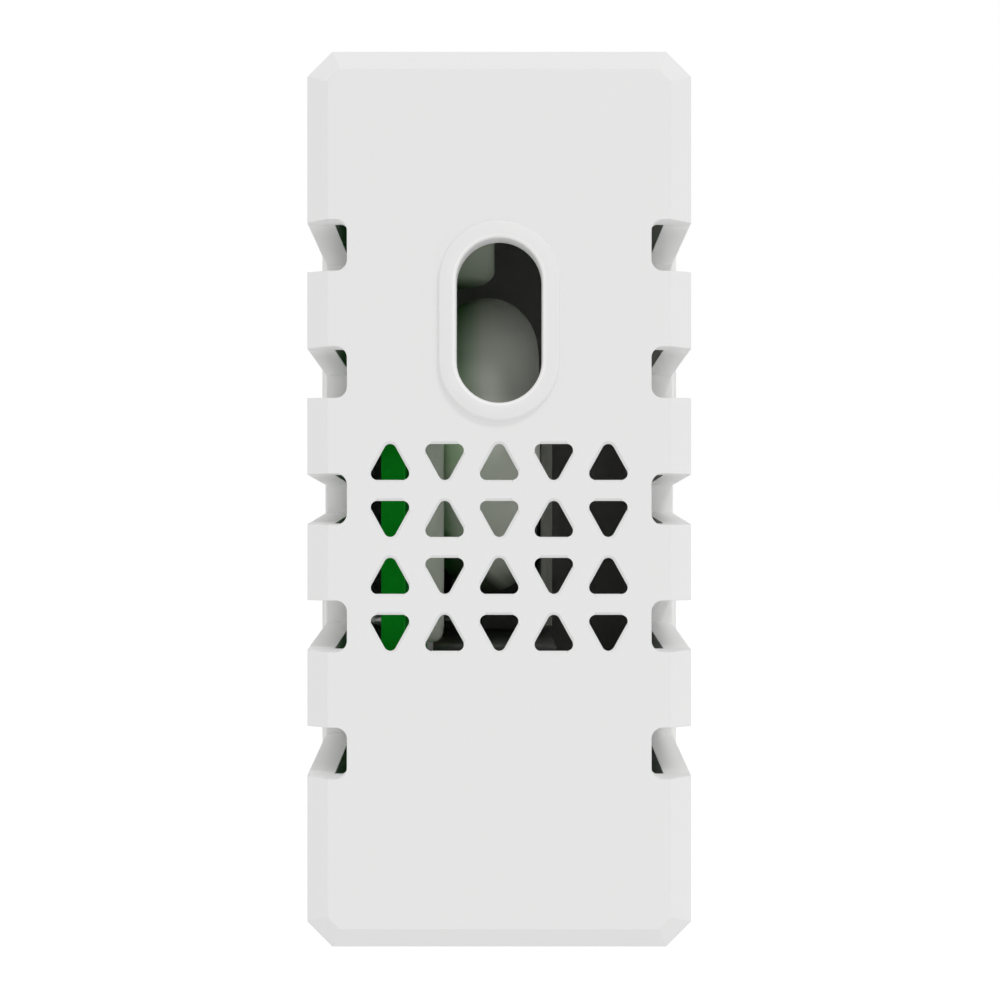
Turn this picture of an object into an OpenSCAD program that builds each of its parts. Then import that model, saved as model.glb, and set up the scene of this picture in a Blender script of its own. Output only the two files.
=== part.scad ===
// Surge protector module for a modular wall plate, one module wide.
// X is across, Y runs from the vented back (-Y) to the face in the room (+Y), Z is up.
// The origin is at the middle of the foot of the whole part.
// Depths are measured forward from the flat back face, heights from the middle of the casing.

/* [Rear cover] */
// Width just in front of the bevelled back edge
cover_w = 20.76; // [19:0.02:21.4]
// Height just in front of the bevelled back edge
cover_h = 48.4; // [46:0.1:52]
// Depth from the back face to the rim that meets the front housing
cover_d = 15.2; // [14.6:0.1:18]
// Thickness of the walls and of the back plate
wall = 1.45; // [1.2:0.05:1.7]
// Draft of the outer faces, in degrees
draft = 1.3; // [0.5:0.1:1.6]
// Draft of the inner faces, in degrees
core_draft = 0.8; // [0.3:0.1:1]
// Width of the bevel round the back face
bevel_w = 1.2; // [0.6:0.1:1.6]
// Depth of the bevel round the back face
bevel_d = 1; // [0.5:0.1:1.3]
// Length of the cut across each corner, along one side
corner_cut = 1.35; // [0.8:0.05:2]
// Thickness of the tongue that laps inside the front housing
tongue_t = 0.75; // [0.6:0.05:0.9]
// Length of that tongue
tongue_l = 2.4; // [2.2:0.1:3.2]

/* [Side slots] */
// Number of slots on each side
slot_count = 5; // [3:1:5]
// Distance from one slot to the next
slot_pitch = 6.8; // [5:0.1:8]
// Height of a slot at the back face
slot_h = 2.75; // [2:0.05:3.2]
// Height of a slot at its front end
slot_end_h = 1.68; // [1:0.02:1.9]
// Length of solid wall between a slot's front end and the rim
slot_rim = 2; // [1.5:0.1:3]
// How far a slot cuts into the back face from the widest point of the side
slot_bite = 2.23; // [1.9:0.01:2.6]
// Radius of a slot's two inner corners
slot_r = 0.6; // [0.3:0.05:0.9]

/* [Triangular vents] */
// Vents across
vent_cols = 5; // [3:1:5]
// Vents up and down
vent_rows = 4; // [2:1:4]
// Distance between vents across
vent_pitch_x = 2.92; // [2.5:0.02:3.1]
// Distance between vents up and down
vent_pitch_z = 3.05; // [2.6:0.05:3.2]
// Width of one vent
vent_w = 2.06; // [1.4:0.02:2.2]
// Height of one vent
vent_h = 1.93; // [1.4:0.01:2.1]
// Radius of a vent's corners
vent_r = 0.34; // [0.15:0.01:0.45]
// Size of the chamfer round each vent's mouth
vent_chamfer = 0.14; // [0.05:0.01:0.2]
// Height of the middle of the vent field, from the middle of the casing
vent_z = -2.58; // [-6:0.02:-1.5]

/* [Lead outlet] */
// Width of the outlet
outlet_w = 4.6; // [4.4:0.02:5.4]
// Height of the outlet
outlet_h = 8.8; // [8:0.02:10]
// Height of the outlet's middle, from the middle of the casing
outlet_z = 9.55; // [9:0.05:12]
// Width of the raised lip round the outlet, at its foot
lip_w = 0.97; // [0.7:0.01:1.1]
// How far the lip stands out of the back face
lip_h = 0.38; // [0.3:0.02:0.6]
// How much narrower the lip's crest is than its foot, on the outside
lip_slope = 0.05; // [0:0.01:0.15]
// Radius of the rounded edge inside the lip
lip_round = 0.2; // [0.1:0.01:0.4]

/* [Front housing] */
// How far the housing's rear rim stands out beyond the cover
side_lip = 0.45; // [0.3:0.05:0.6]
// Depth of the skirt behind the shoulders
skirt_d = 6.4; // [5.4:0.1:8]
// Thickness of the shoulders and of the shelf under the face plate
shoulder_t = 1.3; // [1:0.1:1.6]
// Thickness of the wall-plate frame that the latches grip
frame_t = 2; // [1.5:0.1:2.4]
// Length of the neck in front of the latches' catch faces
latch_run = 2.2; // [1.8:0.1:3]
// Width of each latch
latch_w = 6; // [4:0.5:8]
// How far each latch stands out of the neck
latch_rise = 0.8; // [0.4:0.05:1]
// Width of the slits beside each latch
slit_w = 0.6; // [0.4:0.05:0.8]
// Depth of the neck that the face plate covers
neck_d = 3; // [2.5:0.1:4]
// Thickness of the neck walls and of the front wall
neck_wall = 1.2; // [1:0.05:1.4]
// Height of the pry notch in each side of the rim
pry_h = 4.6; // [3:0.1:8]
// Depth of the pry notch
pry_d = 1.8; // [1:0.1:2.2]

/* [Snaps of the rear cover] */
// Width of each snap nub
snap_w = 3; // [2:0.1:4]
// Distance of the nubs from the middle
snap_x = 5.5; // [4:0.1:6]
// How far each nub stands out of the tongue
snap_rise = 0.5; // [0.3:0.05:0.7]
// Length of each nub
snap_l = 1.2; // [1:0.05:1.4]
// Distance from the rim to the nubs
snap_in = 0.8; // [0.6:0.05:1]

/* [Face plate] */
// Height of the face plate
face_h = 44.8; // [43.5:0.1:45.5]
// Thickness of its front
face_t = 1.4; // [1:0.1:2]
// Thickness of its skirt
face_skirt = 0.9; // [0.7:0.05:1.1]
// Size of the rounded edge round its front
face_edge = 0.6; // [0.3:0.05:0.8]

/* [Indicator] */
// Distance from the upper edge of the face plate to the indicator's middle
lens_drop = 12; // [11.6:0.1:12.2]
// Diameter of the lens
lens_dia = 3; // [2:0.1:3.4]
// Diameter of the flange behind the lens
lens_flange_dia = 4.4; // [3.8:0.1:4.8]
// Thickness of that flange
lens_flange_t = 0.8; // [0.5:0.1:1]
// Diameter of the light-emitting diode
led_dia = 3; // [2.6:0.1:3.2]
// Length of the light-emitting diode
led_l = 4; // [3.4:0.1:4.2]
// Thickness of the rim round its foot
led_rim_t = 0.9; // [0.6:0.1:1.1]
// How far that rim stands out
led_rim = 0.4; // [0.2:0.05:0.5]
// Space between that diode and the lens
led_gap = 0.5; // [0.3:0.1:0.8]
// Distance from the board's front edge to the holes of its leads
led_back = 4.4; // [4.2:0.1:4.8]
// Distance between its leads
led_pitch = 2.54; // [2.2:0.01:2.6]

/* [Circuit board] */
// Thickness of the board
board_t = 1.3; // [1:0.1:1.6]
// Distance from the inner side wall to the board's component side
board_offset = 3.69; // [3.4:0.01:3.8]
// Space between each end of the board and the inner wall
board_room = 1.35; // [1.2:0.05:1.6]
// Depth of the wide part of the board
board_d = 17.1; // [16.8:0.1:17.2]
// Space between each end of the board's tongue and the wall of the neck
neck_room = 1.2; // [1:0.05:1.4]
// Depth of that tongue
board_neck_d = 5.5; // [5.4:0.1:6]
// Depth of the board's rear edge
board_in = 3; // [2.6:0.1:3.4]
// Thickness of the rails' walls
rail_t = 1; // [0.7:0.05:1.1]
// Length that the rails hold at each corner of the board
rail_l = 1.9; // [1.2:0.1:2.2]
// How deep the board sits in the rails
rail_grip = 2; // [1:0.1:2.2]

/* [Varistors] */
// Diameter of the large varistor
big_dia = 18; // [16.5:0.1:18.2]
// Thickness of the large varistor
big_t = 6.2; // [5.5:0.1:6.4]
// Space between the large varistor and the board
big_gap = 1.4; // [1.3:0.05:1.5]
// How deep its rounded rim reaches in from its edge
big_rim = 3.3; // [2.6:0.1:3.6]
// Distance from the board's rear edge to the large varistor
big_back = 0.6; // [0.4:0.1:0.9]
// Distance between the large varistor's leads
big_pitch = 7.5; // [5:0.5:8]
// Distance from the large varistor's front to the holes of its leads
big_run = 1.4; // [1.2:0.1:1.5]
// Diameter of the small varistor
small_dia = 9.6; // [8:0.1:9.8]
// Thickness of the small varistor
small_t = 4.3; // [3.4:0.1:4.6]
// Space between the small varistor and the board
small_gap = 0.65; // [0.4:0.05:0.9]
// How deep its rounded rim reaches in from its edge
small_rim = 1.05; // [0.8:0.05:1.6]
// Distance from the board's rear edge to the small varistor's middle
small_back = 7; // [6.8:0.1:7.6]
// Distance from the board's upper end to the small varistor's middle
small_drop = 4.05; // [3.9:0.05:4.3]
// Distance between the small varistor's leads
small_pitch = 5; // [4:0.5:5]
// Distance from the small varistor's front to the holes of its leads
small_run = 1.2; // [1:0.1:1.6]
// Space between the two varistors
disc_gap = 0.25; // [0.2:0.05:0.5]

/* [Fuse and discharge tube] */
// Diameter of the thermal fuse
fuse_dia = 1.7; // [1.5:0.1:1.8]
// Space between the thermal fuse and the board
fuse_gap = 0.45; // [0.3:0.05:0.5]
// Length of the thermal fuse
fuse_l = 12; // [10:0.1:12.4]
// Distance from the board's rear edge to the thermal fuse's middle
fuse_back = 1.2; // [1.1:0.1:1.3]
// Height of the thermal fuse, from the middle of the casing
fuse_z = -2; // [-2.4:0.1:-1.8]
// Diameter of the gas discharge tube
tube_dia = 5.5; // [5:0.1:6]
// Length of the gas discharge tube
tube_l = 6; // [5:0.1:6.2]
// Length of the metal cap on each end of the tube
cap_l = 0.9; // [0.6:0.1:1.2]
// How far those caps stand out beyond the ceramic
cap_rise = 0.2; // [0.1:0.05:0.3]
// Distance from the board's front edge to the tube's middle
tube_front = 3.3; // [3:0.1:3.4]
// Distance from the lower end of the board's tongue to the tube's middle
tube_rise = 5.9; // [5.8:0.1:6.2]
// Length of lead from each end of these two to its hole
end_run = 2; // [1.8:0.1:2.1]

/* [Film capacitor] */
// How far it stands out from the board
film_w = 8.5; // [7:0.1:9]
// Its depth
film_d = 11.8; // [10:0.1:12]
// Distance from the board's rear edge
film_back = 4.2; // [4:0.1:5]
// Space between the large varistor and its upper end
film_gap = 2.7; // [2.5:0.1:3]
// Space between the board's lower end and its lower end
film_rise = 1; // [0.8:0.1:1.4]
// Distance from each end to its pin
film_end = 1; // [0.8:0.1:1.4]

/* [Resistors] */
// Diameter of the resistors in the indicator circuit
axial_dia = 2.3; // [1.8:0.1:2.4]
// Length of those resistors
axial_l = 6.3; // [5.5:0.1:6.6]
// Diameter of the bleed resistor
bleed_dia = 1.8; // [1.5:0.1:2]
// Length of the bleed resistor
bleed_l = 4.1; // [3.4:0.1:4.4]
// Length of lead from each end of a resistor or a diode to its hole
axial_run = 1; // [0.9:0.1:1.1]
// Distance from the board's rear edge to the dropper resistor's middle
dropper_back = 15.2; // [15:0.1:15.6]
// Distance from the board's upper end to the dropper resistor's middle
dropper_drop = 5.65; // [5.4:0.05:5.9]
// Distance from the board's rear edge to the bleed resistor's middle
bleed_back = 2.8; // [1.8:0.1:2.9]
// Distance from the board's lower end to the bleed resistor's lower hole
bleed_rise = 1.35; // [1.2:0.05:2]
// Distance from the board's rear edge to the series resistor's middle
series_back = 1.7; // [1.6:0.1:1.8]
// Height of the series resistor, from the middle of the casing
series_z = 11.9; // [11.7:0.1:12]

/* [Diodes and tags] */
// Diameter of the diodes
diode_dia = 1.9; // [1.6:0.1:2]
// Length of the diodes
diode_l = 3.8; // [3.4:0.1:4]
// Distance from the board's front edge to the rectifier diode's middle
diode_front = 1.3; // [1.2:0.1:1.4]
// Height of the rectifier diode over the discharge tube's middle
diode_rise = 8.6; // [8.5:0.1:8.8]
// Distance from the board's rear edge to the clamp diode's middle
clamp_back = 8.6; // [8:0.1:9]
// Height of the clamp diode over the film capacitor
clamp_rise = 1.3; // [1.2:0.05:1.5]
// Distance from the board's front edge to the solder tags
tag_front = 1.1; // [1:0.1:1.3]
// How far the middle tag lies below the middle between the indicator and the rectifier diode's upper lead
tag_drop = 1.1; // [1:0.1:1.2]
// Distance between the tags
tag_pitch = 2.4; // [2.2:0.1:2.5]
// Width of a tag
tag_w = 1.6; // [1.2:0.1:1.8]
// Thickness of a tag
tag_t = 0.6; // [0.4:0.1:0.8]
// Height of a tag
tag_h = 4.2; // [3.4:0.1:4.6]

/* [Sheet, leads and solder] */
// Thickness of the insulation sheet
sheet_t = 0.65; // [0.3:0.05:0.8]
// Height of the insulation sheet
sheet_h = 12; // [10:0.5:13]
// How far the sheet's middle lies below the large varistor's
sheet_drop = 4.65; // [4.4:0.05:5]
// Distance from the board's rear edge to the sheet
sheet_back = 4; // [3:0.1:4.4]
// Diameter of the thick leads
lead_dia = 0.8; // [0.6:0.05:0.9]
// Diameter of the thin leads
thin_dia = 0.5; // [0.4:0.05:0.6]
// How far the leads reach into the bodies that they carry
lead_in = 0.2; // [0.1:0.05:0.3]
// Radius of the bends in the leads
bend_r = 0.8; // [0.7:0.05:0.9]
// Clearance of a lead in its hole, all round
hole_gap = 0.1; // [0.05:0.01:0.15]
// Height of each solder joint
solder_h = 0.8; // [0.5:0.05:0.9]
// Width of the ring of solder round a lead, on the board
solder_w = 0.5; // [0.35:0.05:0.5]
// How far the leads stand out of the solder
lead_end = 0.2; // [0.1:0.05:0.4]

/* [Fits] */
// Clearance between pieces that slide together
fit = 0.1; // [0.06:0.01:0.14]

/* [Hidden] */
$fn = 48;

// Depths along the part
rim_at = cover_d;
shoulder_at = rim_at + skirt_d;
catch_at = shoulder_at + frame_t + fit;
step_at = shoulder_at + frame_t + latch_run;
front_at = step_at + neck_d;
face_at = front_at + face_t;
inside_front = front_at - neck_wall;

// Half sizes of the casing, from the bevel to the lap joint
rim_grow = (cover_d - bevel_d) * tan(draft);
core_grow = (cover_d - wall) * tan(core_draft);
skirt_half = [cover_w / 2 + rim_grow + side_lip, cover_h / 2 + rim_grow + side_lip];
tongue_half = [cover_w / 2 - wall + core_grow + tongue_t, cover_h / 2 - wall + core_grow + tongue_t];
face_w = 2 * skirt_half[0];
neck_half = [face_w / 2, face_h / 2 - fit];
inner_neck_half = [face_w / 2 - face_skirt - fit, face_h / 2 - face_skirt - fit];
slot_len = cover_d - slot_rim;

// The board: its side's distance from the middle plane, its two half heights and its front edge
board_x = cover_w / 2 - wall - board_offset;
board_half = cover_h / 2 - wall - board_room;
board_neck_half = inner_neck_half[1] - neck_wall - neck_room;
board_end = board_in + board_d + board_neck_d;

// Depths, heights and reaches of what stands on the board
lens_z = face_h / 2 - lens_drop;
small_depth = board_in + small_back;
small_z = board_half - small_drop;
small_lift = small_gap + small_t / 2;
small_reach = small_depth + small_dia / 2 + small_run;
big_depth = board_in + big_back + big_dia / 2;
big_z = small_z - small_dia / 2 - disc_gap - big_dia / 2;
big_lift = big_gap + big_t / 2;
big_reach = big_depth + big_dia / 2 + big_run;
fuse_depth = board_in + fuse_back;
fuse_span = fuse_l + 2 * end_run;
tube_depth = board_end - tube_front;
tube_z = tube_rise - board_neck_half;
tube_span = tube_l + 2 * end_run;
film_depth = board_in + film_back;
film_low = film_rise - board_half;
film_top = big_z - big_dia / 2 - film_gap;
film_h = film_top - film_low;
axial_span = axial_l + 2 * axial_run;
bleed_span = bleed_l + 2 * axial_run;
diode_span = diode_l + 2 * axial_run;
dropper_at = [board_in + dropper_back, board_half - dropper_drop];
bleed_at = [board_in + bleed_back, bleed_rise + bleed_span / 2 - board_half];
series_at = [board_in + series_back, series_z];
diode_at = [board_end - diode_front, tube_z + diode_rise];
clamp_at = [board_in + clamp_back, film_top + clamp_rise];
led_at = inside_front - lens_flange_t - led_gap - led_l;
led_reach = board_end - led_back;
tag_depth = board_end - tag_front;
tag_z = (lens_z + diode_at[1] + diode_span / 2) / 2 - tag_drop;
sheet_x = -board_x + big_lift + big_t / 2 + fit / 2;
sheet_mid = big_z - sheet_drop;

// Where the origin lies
rear_y = lip_h - (lip_h + face_at) / 2;
mid_z = skirt_half[1];

// Shades of the pieces
white = [0.93, 0.93, 0.91];
board_green = [0.02, 0.36, 0.09];
coat_grey = [0.62, 0.64, 0.6];
steel = [0.75, 0.75, 0.76];

// A little more than nothing, so that cuts break the surface
eps = 0.01;

// Large enough to reach across the whole part
reach = 2 * (cover_w + cover_h);

// Moves its children to a depth and a height on the middle plane
module at(depth = 0, height = 0) {
    translate([0, rear_y + depth, mid_z + height]) children();
}

// Outline of a form in depth: each step is a depth and a growth of the half size
function flank(half, steps) = concat(
    [for (s = steps) [half + s[1], s[0]]],
    [for (i = [len(steps) - 1 : -1 : 0]) [-half - steps[i][1], steps[i][0]]]
);

// That outline as a bar across the part, turned about the depth axis
module bar(half, steps, turn) {
    rotate([0, turn, 0])
        translate([0, 0, -reach / 2])
            linear_extrude(reach)
                polygon(flank(half, steps));
}

// Box with its four long corners cut at 45 degrees, whose sides follow the same steps in depth
module cut_box(half, cut, steps) {
    diagonal = (half[0] + half[1] - cut) / sqrt(2);
    at()
        intersection() {
            bar(half[0], steps, 0);
            bar(half[1], steps, 90);
            bar(diagonal, steps, 45);
            bar(diagonal, steps, -45);
        }
}

// Corner cut of a form that lies inside another by an even inset
function inner_cut(inset) = corner_cut - (2 - sqrt(2)) * inset;

function inset_by(half, inset) = [half[0] - inset, half[1] - inset];

// Box between two depths, centred on the middle plane unless moved
module block(x, depth, height) {
    translate([x[0], rear_y + depth[0], mid_z + height[0]])
        cube([x[1] - x[0], depth[1] - depth[0], height[1] - height[0]]);
}

// Solid of a flat outline, drawn as seen from the back, between two depths
module through(from, to) {
    at(to)
        rotate([90, 0, 0])
            linear_extrude(to - from)
                children();
}

// Solid of an outline in depth and height, carried across the part
module across(x) {
    translate([x[0], rear_y, mid_z])
        rotate([90, 0, 90])
            linear_extrude(x[1] - x[0])
                children();
}

// Triangle with round corners: straight sides between three corner circles
function side_offset(a, b, r) = r * [b[1] - a[1], a[0] - b[0]] / norm(b - a);

function corners(w, h, r) = [[-w / 2 + r, -h / 2 + r], [w / 2 - r, -h / 2 + r], [0, h / 2 - r]];

function side_points(c, r) = [for (i = [0 : 2], end = [0, 1])
    c[(i + end) % 3] + side_offset(c[i], c[(i + 1) % 3], r)];

module round_triangle(w, h, r) {
    polygon(side_points(corners(w, h, r), r));
    for (p = corners(w, h, r))
        translate(p) circle(r);
}

// The same triangle, widening as it rises at 45 degrees from its outline
module flared_triangle(w, h, r, rise) {
    c = corners(w, h, r);
    polyhedron(
        points = [for (level = [0, rise], p = side_points(c, r + level)) [p[0], p[1], level]],
        faces = concat([[0, 1, 2, 3, 4, 5], [11, 10, 9, 8, 7, 6]],
            [for (k = [0 : 5]) [k, 6 + k, 6 + (k + 1) % 6, (k + 1) % 6]]));
    for (p = c)
        translate(p) cylinder(r1 = r, r2 = r + rise, h = rise);
}

// Upright bar with round ends about the depth axis: each step is a depth and a half width there
module round_bar(run, steps) {
    last = len(steps) - 1;
    translate([0, 0, -run / 2])
        linear_extrude(run)
            polygon(flank(0, steps));
    for (end = [-1, 1])
        translate([0, 0, end * run / 2])
            rotate([-90, 0, 0])
                rotate_extrude()
                    polygon(concat([[0, steps[0][0]]], [for (s = steps) [s[1], s[0]]],
                        [[0, steps[last][0]]]));
}

// Rear cover

module cover_outside() {
    cut_box([cover_w / 2, cover_h / 2], corner_cut,
        [[0, -bevel_w], [bevel_d, 0], [cover_d, rim_grow]]);
    cut_box(tongue_half, inner_cut(wall - tongue_t),
        [[cover_d - wall, 0], [cover_d + tongue_l, 0]]);
}

module cover_inside() {
    deep = cover_d + tongue_l + 1;
    cut_box(inset_by([cover_w / 2, cover_h / 2], wall), inner_cut(wall),
        [[wall, 0], [deep, (deep - wall) * tan(core_draft)]]);
}

module vents() {
    for (col = [0 : vent_cols - 1], row = [0 : vent_rows - 1]) {
        x = (col - (vent_cols - 1) / 2) * vent_pitch_x;
        z = vent_z - (row - (vent_rows - 1) / 2) * vent_pitch_z;
        turn = (row + col) % 2 == 0 ? 0 : 180;
        through(-1, wall + 1)
            translate([x, z])
                rotate(turn) round_triangle(vent_w, vent_h, vent_r);
        at(vent_chamfer)
            rotate([90, 0, 0])
                translate([x, z, 0])
                    rotate(turn) flared_triangle(vent_w, vent_h, vent_r, 2 * vent_chamfer);
    }
}

// One slot's outline on the back face: open to the side, with round inner corners
module slot_mouth(inner, outer) {
    translate([inner, -slot_h / 2 + slot_r])
        square([outer - inner, slot_h - 2 * slot_r]);
    translate([inner + slot_r, -slot_h / 2])
        square([outer - inner - slot_r, slot_h]);
    for (side = [-1, 1])
        translate([inner + slot_r, side * (slot_h / 2 - slot_r)]) circle(slot_r);
}

module side_slots() {
    inner = cover_w / 2 - slot_bite;
    outer = cover_w / 2 + rim_grow + 1;
    for (side = [0, 1], i = [0 : slot_count - 1]) {
        z = (i - (slot_count - 1) / 2) * slot_pitch;
        mirror([side, 0, 0])
            intersection() {
                through(-1, slot_len)
                    translate([0, z]) slot_mouth(inner, outer);
                across([inner - 1, outer + 1])
                    translate([0, z])
                        polygon([[-1, -slot_h / 2], [0, -slot_h / 2], [slot_len, -slot_end_h / 2],
                                 [slot_len, slot_end_h / 2], [0, slot_h / 2], [-1, slot_h / 2]]);
            }
    }
}

module outlet_lip() {
    foot = outlet_w / 2 + lip_w;
    crest = foot - lip_slope;
    edge = lip_h / 3;
    at(0, outlet_z)
        round_bar(outlet_h - outlet_w, [[-lip_h, crest - edge], [-lip_h + edge / 3, crest - edge / 3],
                                        [-lip_h + edge, crest], [0, foot], [wall / 2, foot]]);
}

// The outlet, whose mouth in the lip is a quarter round
module outlet_hole() {
    at(0, outlet_z)
        round_bar(outlet_h - outlet_w, concat([[-lip_h - 1, outlet_w / 2 + lip_round]],
            [for (a = [0 : 15 : 90])
                [-lip_h + lip_round * (1 - cos(a)), outlet_w / 2 + lip_round * (1 - sin(a))]],
            [[wall + 1, outlet_w / 2]]));
}

// Rail that takes one corner of the board: a block with a pocket of the board's section
module rail(depth, heights) {
    block([-board_x - board_t - fit - rail_t, -board_x + fit + rail_t], depth, heights);
}

module board_pocket(depth, half_h) {
    block([-board_x - board_t - fit, -board_x + fit], depth, [-half_h - fit, half_h + fit]);
}

module rear_rails() {
    low = board_half - rail_l;
    high = board_half + fit + rail_t;
    difference() {
        for (side = [0, 1])
            translate([0, 0, side * 2 * mid_z])
                mirror([0, 0, side])
                    rail([wall - eps, board_in + rail_grip], [low, high]);
        board_pocket([board_in, board_in + board_d], board_half);
    }
}

// Nubs on the tongue that click into the windows of the housing
module snap_nubs() {
    rise = tongue_half[1];
    start = cover_d + snap_in;
    for (side = [-1, 1], end = [0, 1])
        translate([0, 0, end * 2 * mid_z])
            mirror([0, 0, end])
                across([side * snap_x - snap_w / 2, side * snap_x + snap_w / 2])
                    polygon([[start, rise - tongue_t / 2], [start, rise + snap_rise],
                             [start + snap_l / 4, rise + snap_rise], [start + snap_l, rise],
                             [start + snap_l, rise - tongue_t / 2]]);
}

module rear_cover() {
    color(white) {
        difference() {
            union() {
                cover_outside();
                outlet_lip();
            }
            cover_inside();
            vents();
            side_slots();
            outlet_hole();
        }
        rear_rails();
        snap_nubs();
    }
}

// Front housing

module housing_outside() {
    cut_box(skirt_half, corner_cut, [[rim_at, 0], [shoulder_at, 0]]);
    cut_box(neck_half, corner_cut / 2, [[shoulder_at - eps, 0], [step_at, 0]]);
    cut_box(inner_neck_half, corner_cut / 2, [[step_at - eps, 0], [front_at, 0]]);
}

module housing_inside() {
    cut_box([tongue_half[0] + fit, tongue_half[1] + fit], inner_cut(wall - tongue_t),
        [[rim_at - 1, 0], [shoulder_at - shoulder_t, 0]]);
    cut_box(inset_by(neck_half, neck_wall), 0,
        [[shoulder_at - shoulder_t - eps, 0], [step_at - shoulder_t, 0]]);
    cut_box(inset_by(inner_neck_half, neck_wall), 0,
        [[step_at - shoulder_t - eps, 0], [inside_front, 0]]);
}

module snap_windows() {
    start = cover_d + snap_in - fit;
    for (side = [-1, 1])
        block([side * snap_x - snap_w / 2 - fit, side * snap_x + snap_w / 2 + fit],
            [start, start + snap_l + 2 * fit], [-mid_z - 1, mid_z + 1]);
}

module pry_notches() {
    block([-skirt_half[0] - 1, skirt_half[0] + 1], [rim_at - 1, rim_at + pry_d], [-pry_h / 2, pry_h / 2]);
}

// Slits that free each latch, and the window in the shoulder behind it
module latch_cuts() {
    low = neck_half[1] - neck_wall - 1;
    for (end = [0, 1])
        translate([0, 0, end * 2 * mid_z])
            mirror([0, 0, end]) {
                for (side = [-1, 1]) {
                    x = side * (latch_w + slit_w) / 2;
                    block([x - slit_w / 2, x + slit_w / 2], [shoulder_at + fit, step_at - shoulder_t],
                        [low, neck_half[1] + 1]);
                }
                block([-latch_w / 2, latch_w / 2], [shoulder_at - shoulder_t - 1, shoulder_at + 1],
                    [neck_half[1], tongue_half[1] - fit]);
            }
}

module latches() {
    foot = neck_half[1] - neck_wall / 2;
    top = neck_half[1] + latch_rise;
    for (end = [0, 1])
        translate([0, 0, end * 2 * mid_z])
            mirror([0, 0, end])
                across([-latch_w / 2, latch_w / 2])
                    polygon([[catch_at, foot], [catch_at, top], [catch_at + latch_run / 5, top],
                             [step_at - fit, neck_half[1]], [step_at - fit, foot]]);
}

module front_rails() {
    low = board_neck_half - rail_l;
    high = inner_neck_half[1] - neck_wall + eps;
    difference() {
        for (end = [0, 1])
            translate([0, 0, end * 2 * mid_z])
                mirror([0, 0, end])
                    rail([board_end - rail_grip, inside_front + eps], [low, high]);
        board_pocket([board_in, board_end], board_neck_half);
    }
}

// Pair of ribs on the front wall that hold the insulation sheet
module sheet_ribs() {
    for (x = [sheet_x - fit - rail_t, sheet_x + sheet_t + fit])
        block([x, x + rail_t], [step_at - shoulder_t, inside_front + eps],
            [sheet_mid - sheet_h / 3, sheet_mid + sheet_h / 6]);
}

module front_housing() {
    color(white) {
        difference() {
            housing_outside();
            housing_inside();
            snap_windows();
            pry_notches();
            latch_cuts();
            through(inside_front - 1, front_at + 1)
                translate([0, lens_z]) circle(d = lens_dia + 2 * fit);
        }
        latches();
        front_rails();
        sheet_ribs();
    }
}

// Face plate and indicator lens

module face_plate() {
    half = [face_w / 2, face_h / 2];
    color(white)
        difference() {
            cut_box(half, corner_cut / 2,
                [[step_at + fit, 0], [face_at - face_edge, 0], [face_at - face_edge / 4, -face_edge / 3],
                 [face_at, -face_edge]]);
            cut_box(inset_by(half, face_skirt), corner_cut / 2, [[step_at - 1, 0], [front_at, 0]]);
            through(front_at - 1, face_at + 1)
                translate([0, lens_z]) circle(d = lens_dia + 2 * fit);
        }
}

module indicator_lens() {
    color([0.9, 0.35, 0.3])
        union() {
            through(inside_front - eps, face_at)
                translate([0, lens_z]) circle(d = lens_dia);
            through(inside_front - lens_flange_t, inside_front)
                translate([0, lens_z]) circle(d = lens_flange_dia);
        }
}

// Circuit board. Its own directions: x forward in depth, y up, z out of the component side.

module on_board(depth, height) {
    translate([-board_x, rear_y + depth, mid_z + height])
        rotate([90, 0, 90])
            children();
}

// Two holes, a span apart up the board
function pair(depth, height, span, dia) =
    [for (side = [-1, 1]) [depth, height + side * span / 2, dia]];

// Two holes, a span apart along the depth
function level_pair(depth, height, span, dia) =
    [for (side = [-1, 1]) [depth + side * span / 2, height, dia]];

function tag_height(i) = tag_z + (i - 1) * tag_pitch;

lead_holes = concat(
    pair(big_reach, big_z, big_pitch, lead_dia),
    pair(small_reach, small_z, small_pitch, thin_dia),
    pair(fuse_depth, fuse_z, fuse_span, thin_dia),
    pair(tube_depth, tube_z, tube_span, lead_dia),
    pair(film_depth + film_d / 2, (film_low + film_top) / 2, film_h - 2 * film_end, thin_dia),
    pair(dropper_at[0], dropper_at[1], axial_span, thin_dia),
    pair(bleed_at[0], bleed_at[1], bleed_span, thin_dia),
    pair(series_at[0], series_at[1], axial_span, thin_dia),
    pair(diode_at[0], diode_at[1], diode_span, thin_dia),
    level_pair(clamp_at[0], clamp_at[1], diode_span, thin_dia),
    pair(led_reach, lens_z, led_pitch, thin_dia),
    [for (i = [0 : 2]) [tag_depth, tag_height(i), lead_dia]]
);

module circuit_board() {
    color(board_green)
        difference() {
            union() {
                block([-board_x - board_t, -board_x], [board_in, board_in + board_d],
                    [-board_half, board_half]);
                block([-board_x - board_t, -board_x], [board_in + board_d - 1, board_end],
                    [-board_neck_half, board_neck_half]);
            }
            for (h = lead_holes)
                on_board(h[0], h[1])
                    translate([0, 0, -board_t - 1])
                        cylinder(d = h[2] + 2 * hole_gap, h = board_t + 2);
        }
}

module solder_joints() {
    color(steel)
        for (h = lead_holes)
            on_board(h[0], h[1])
                translate([0, 0, -board_t - solder_h])
                    difference() {
                        cylinder(d1 = h[2] + 2 * solder_w / 3, d2 = h[2] + 2 * solder_w, h = solder_h);
                        translate([0, 0, -1]) cylinder(d = h[2] + 4 * eps, h = solder_h + 2);
                    }
}

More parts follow.
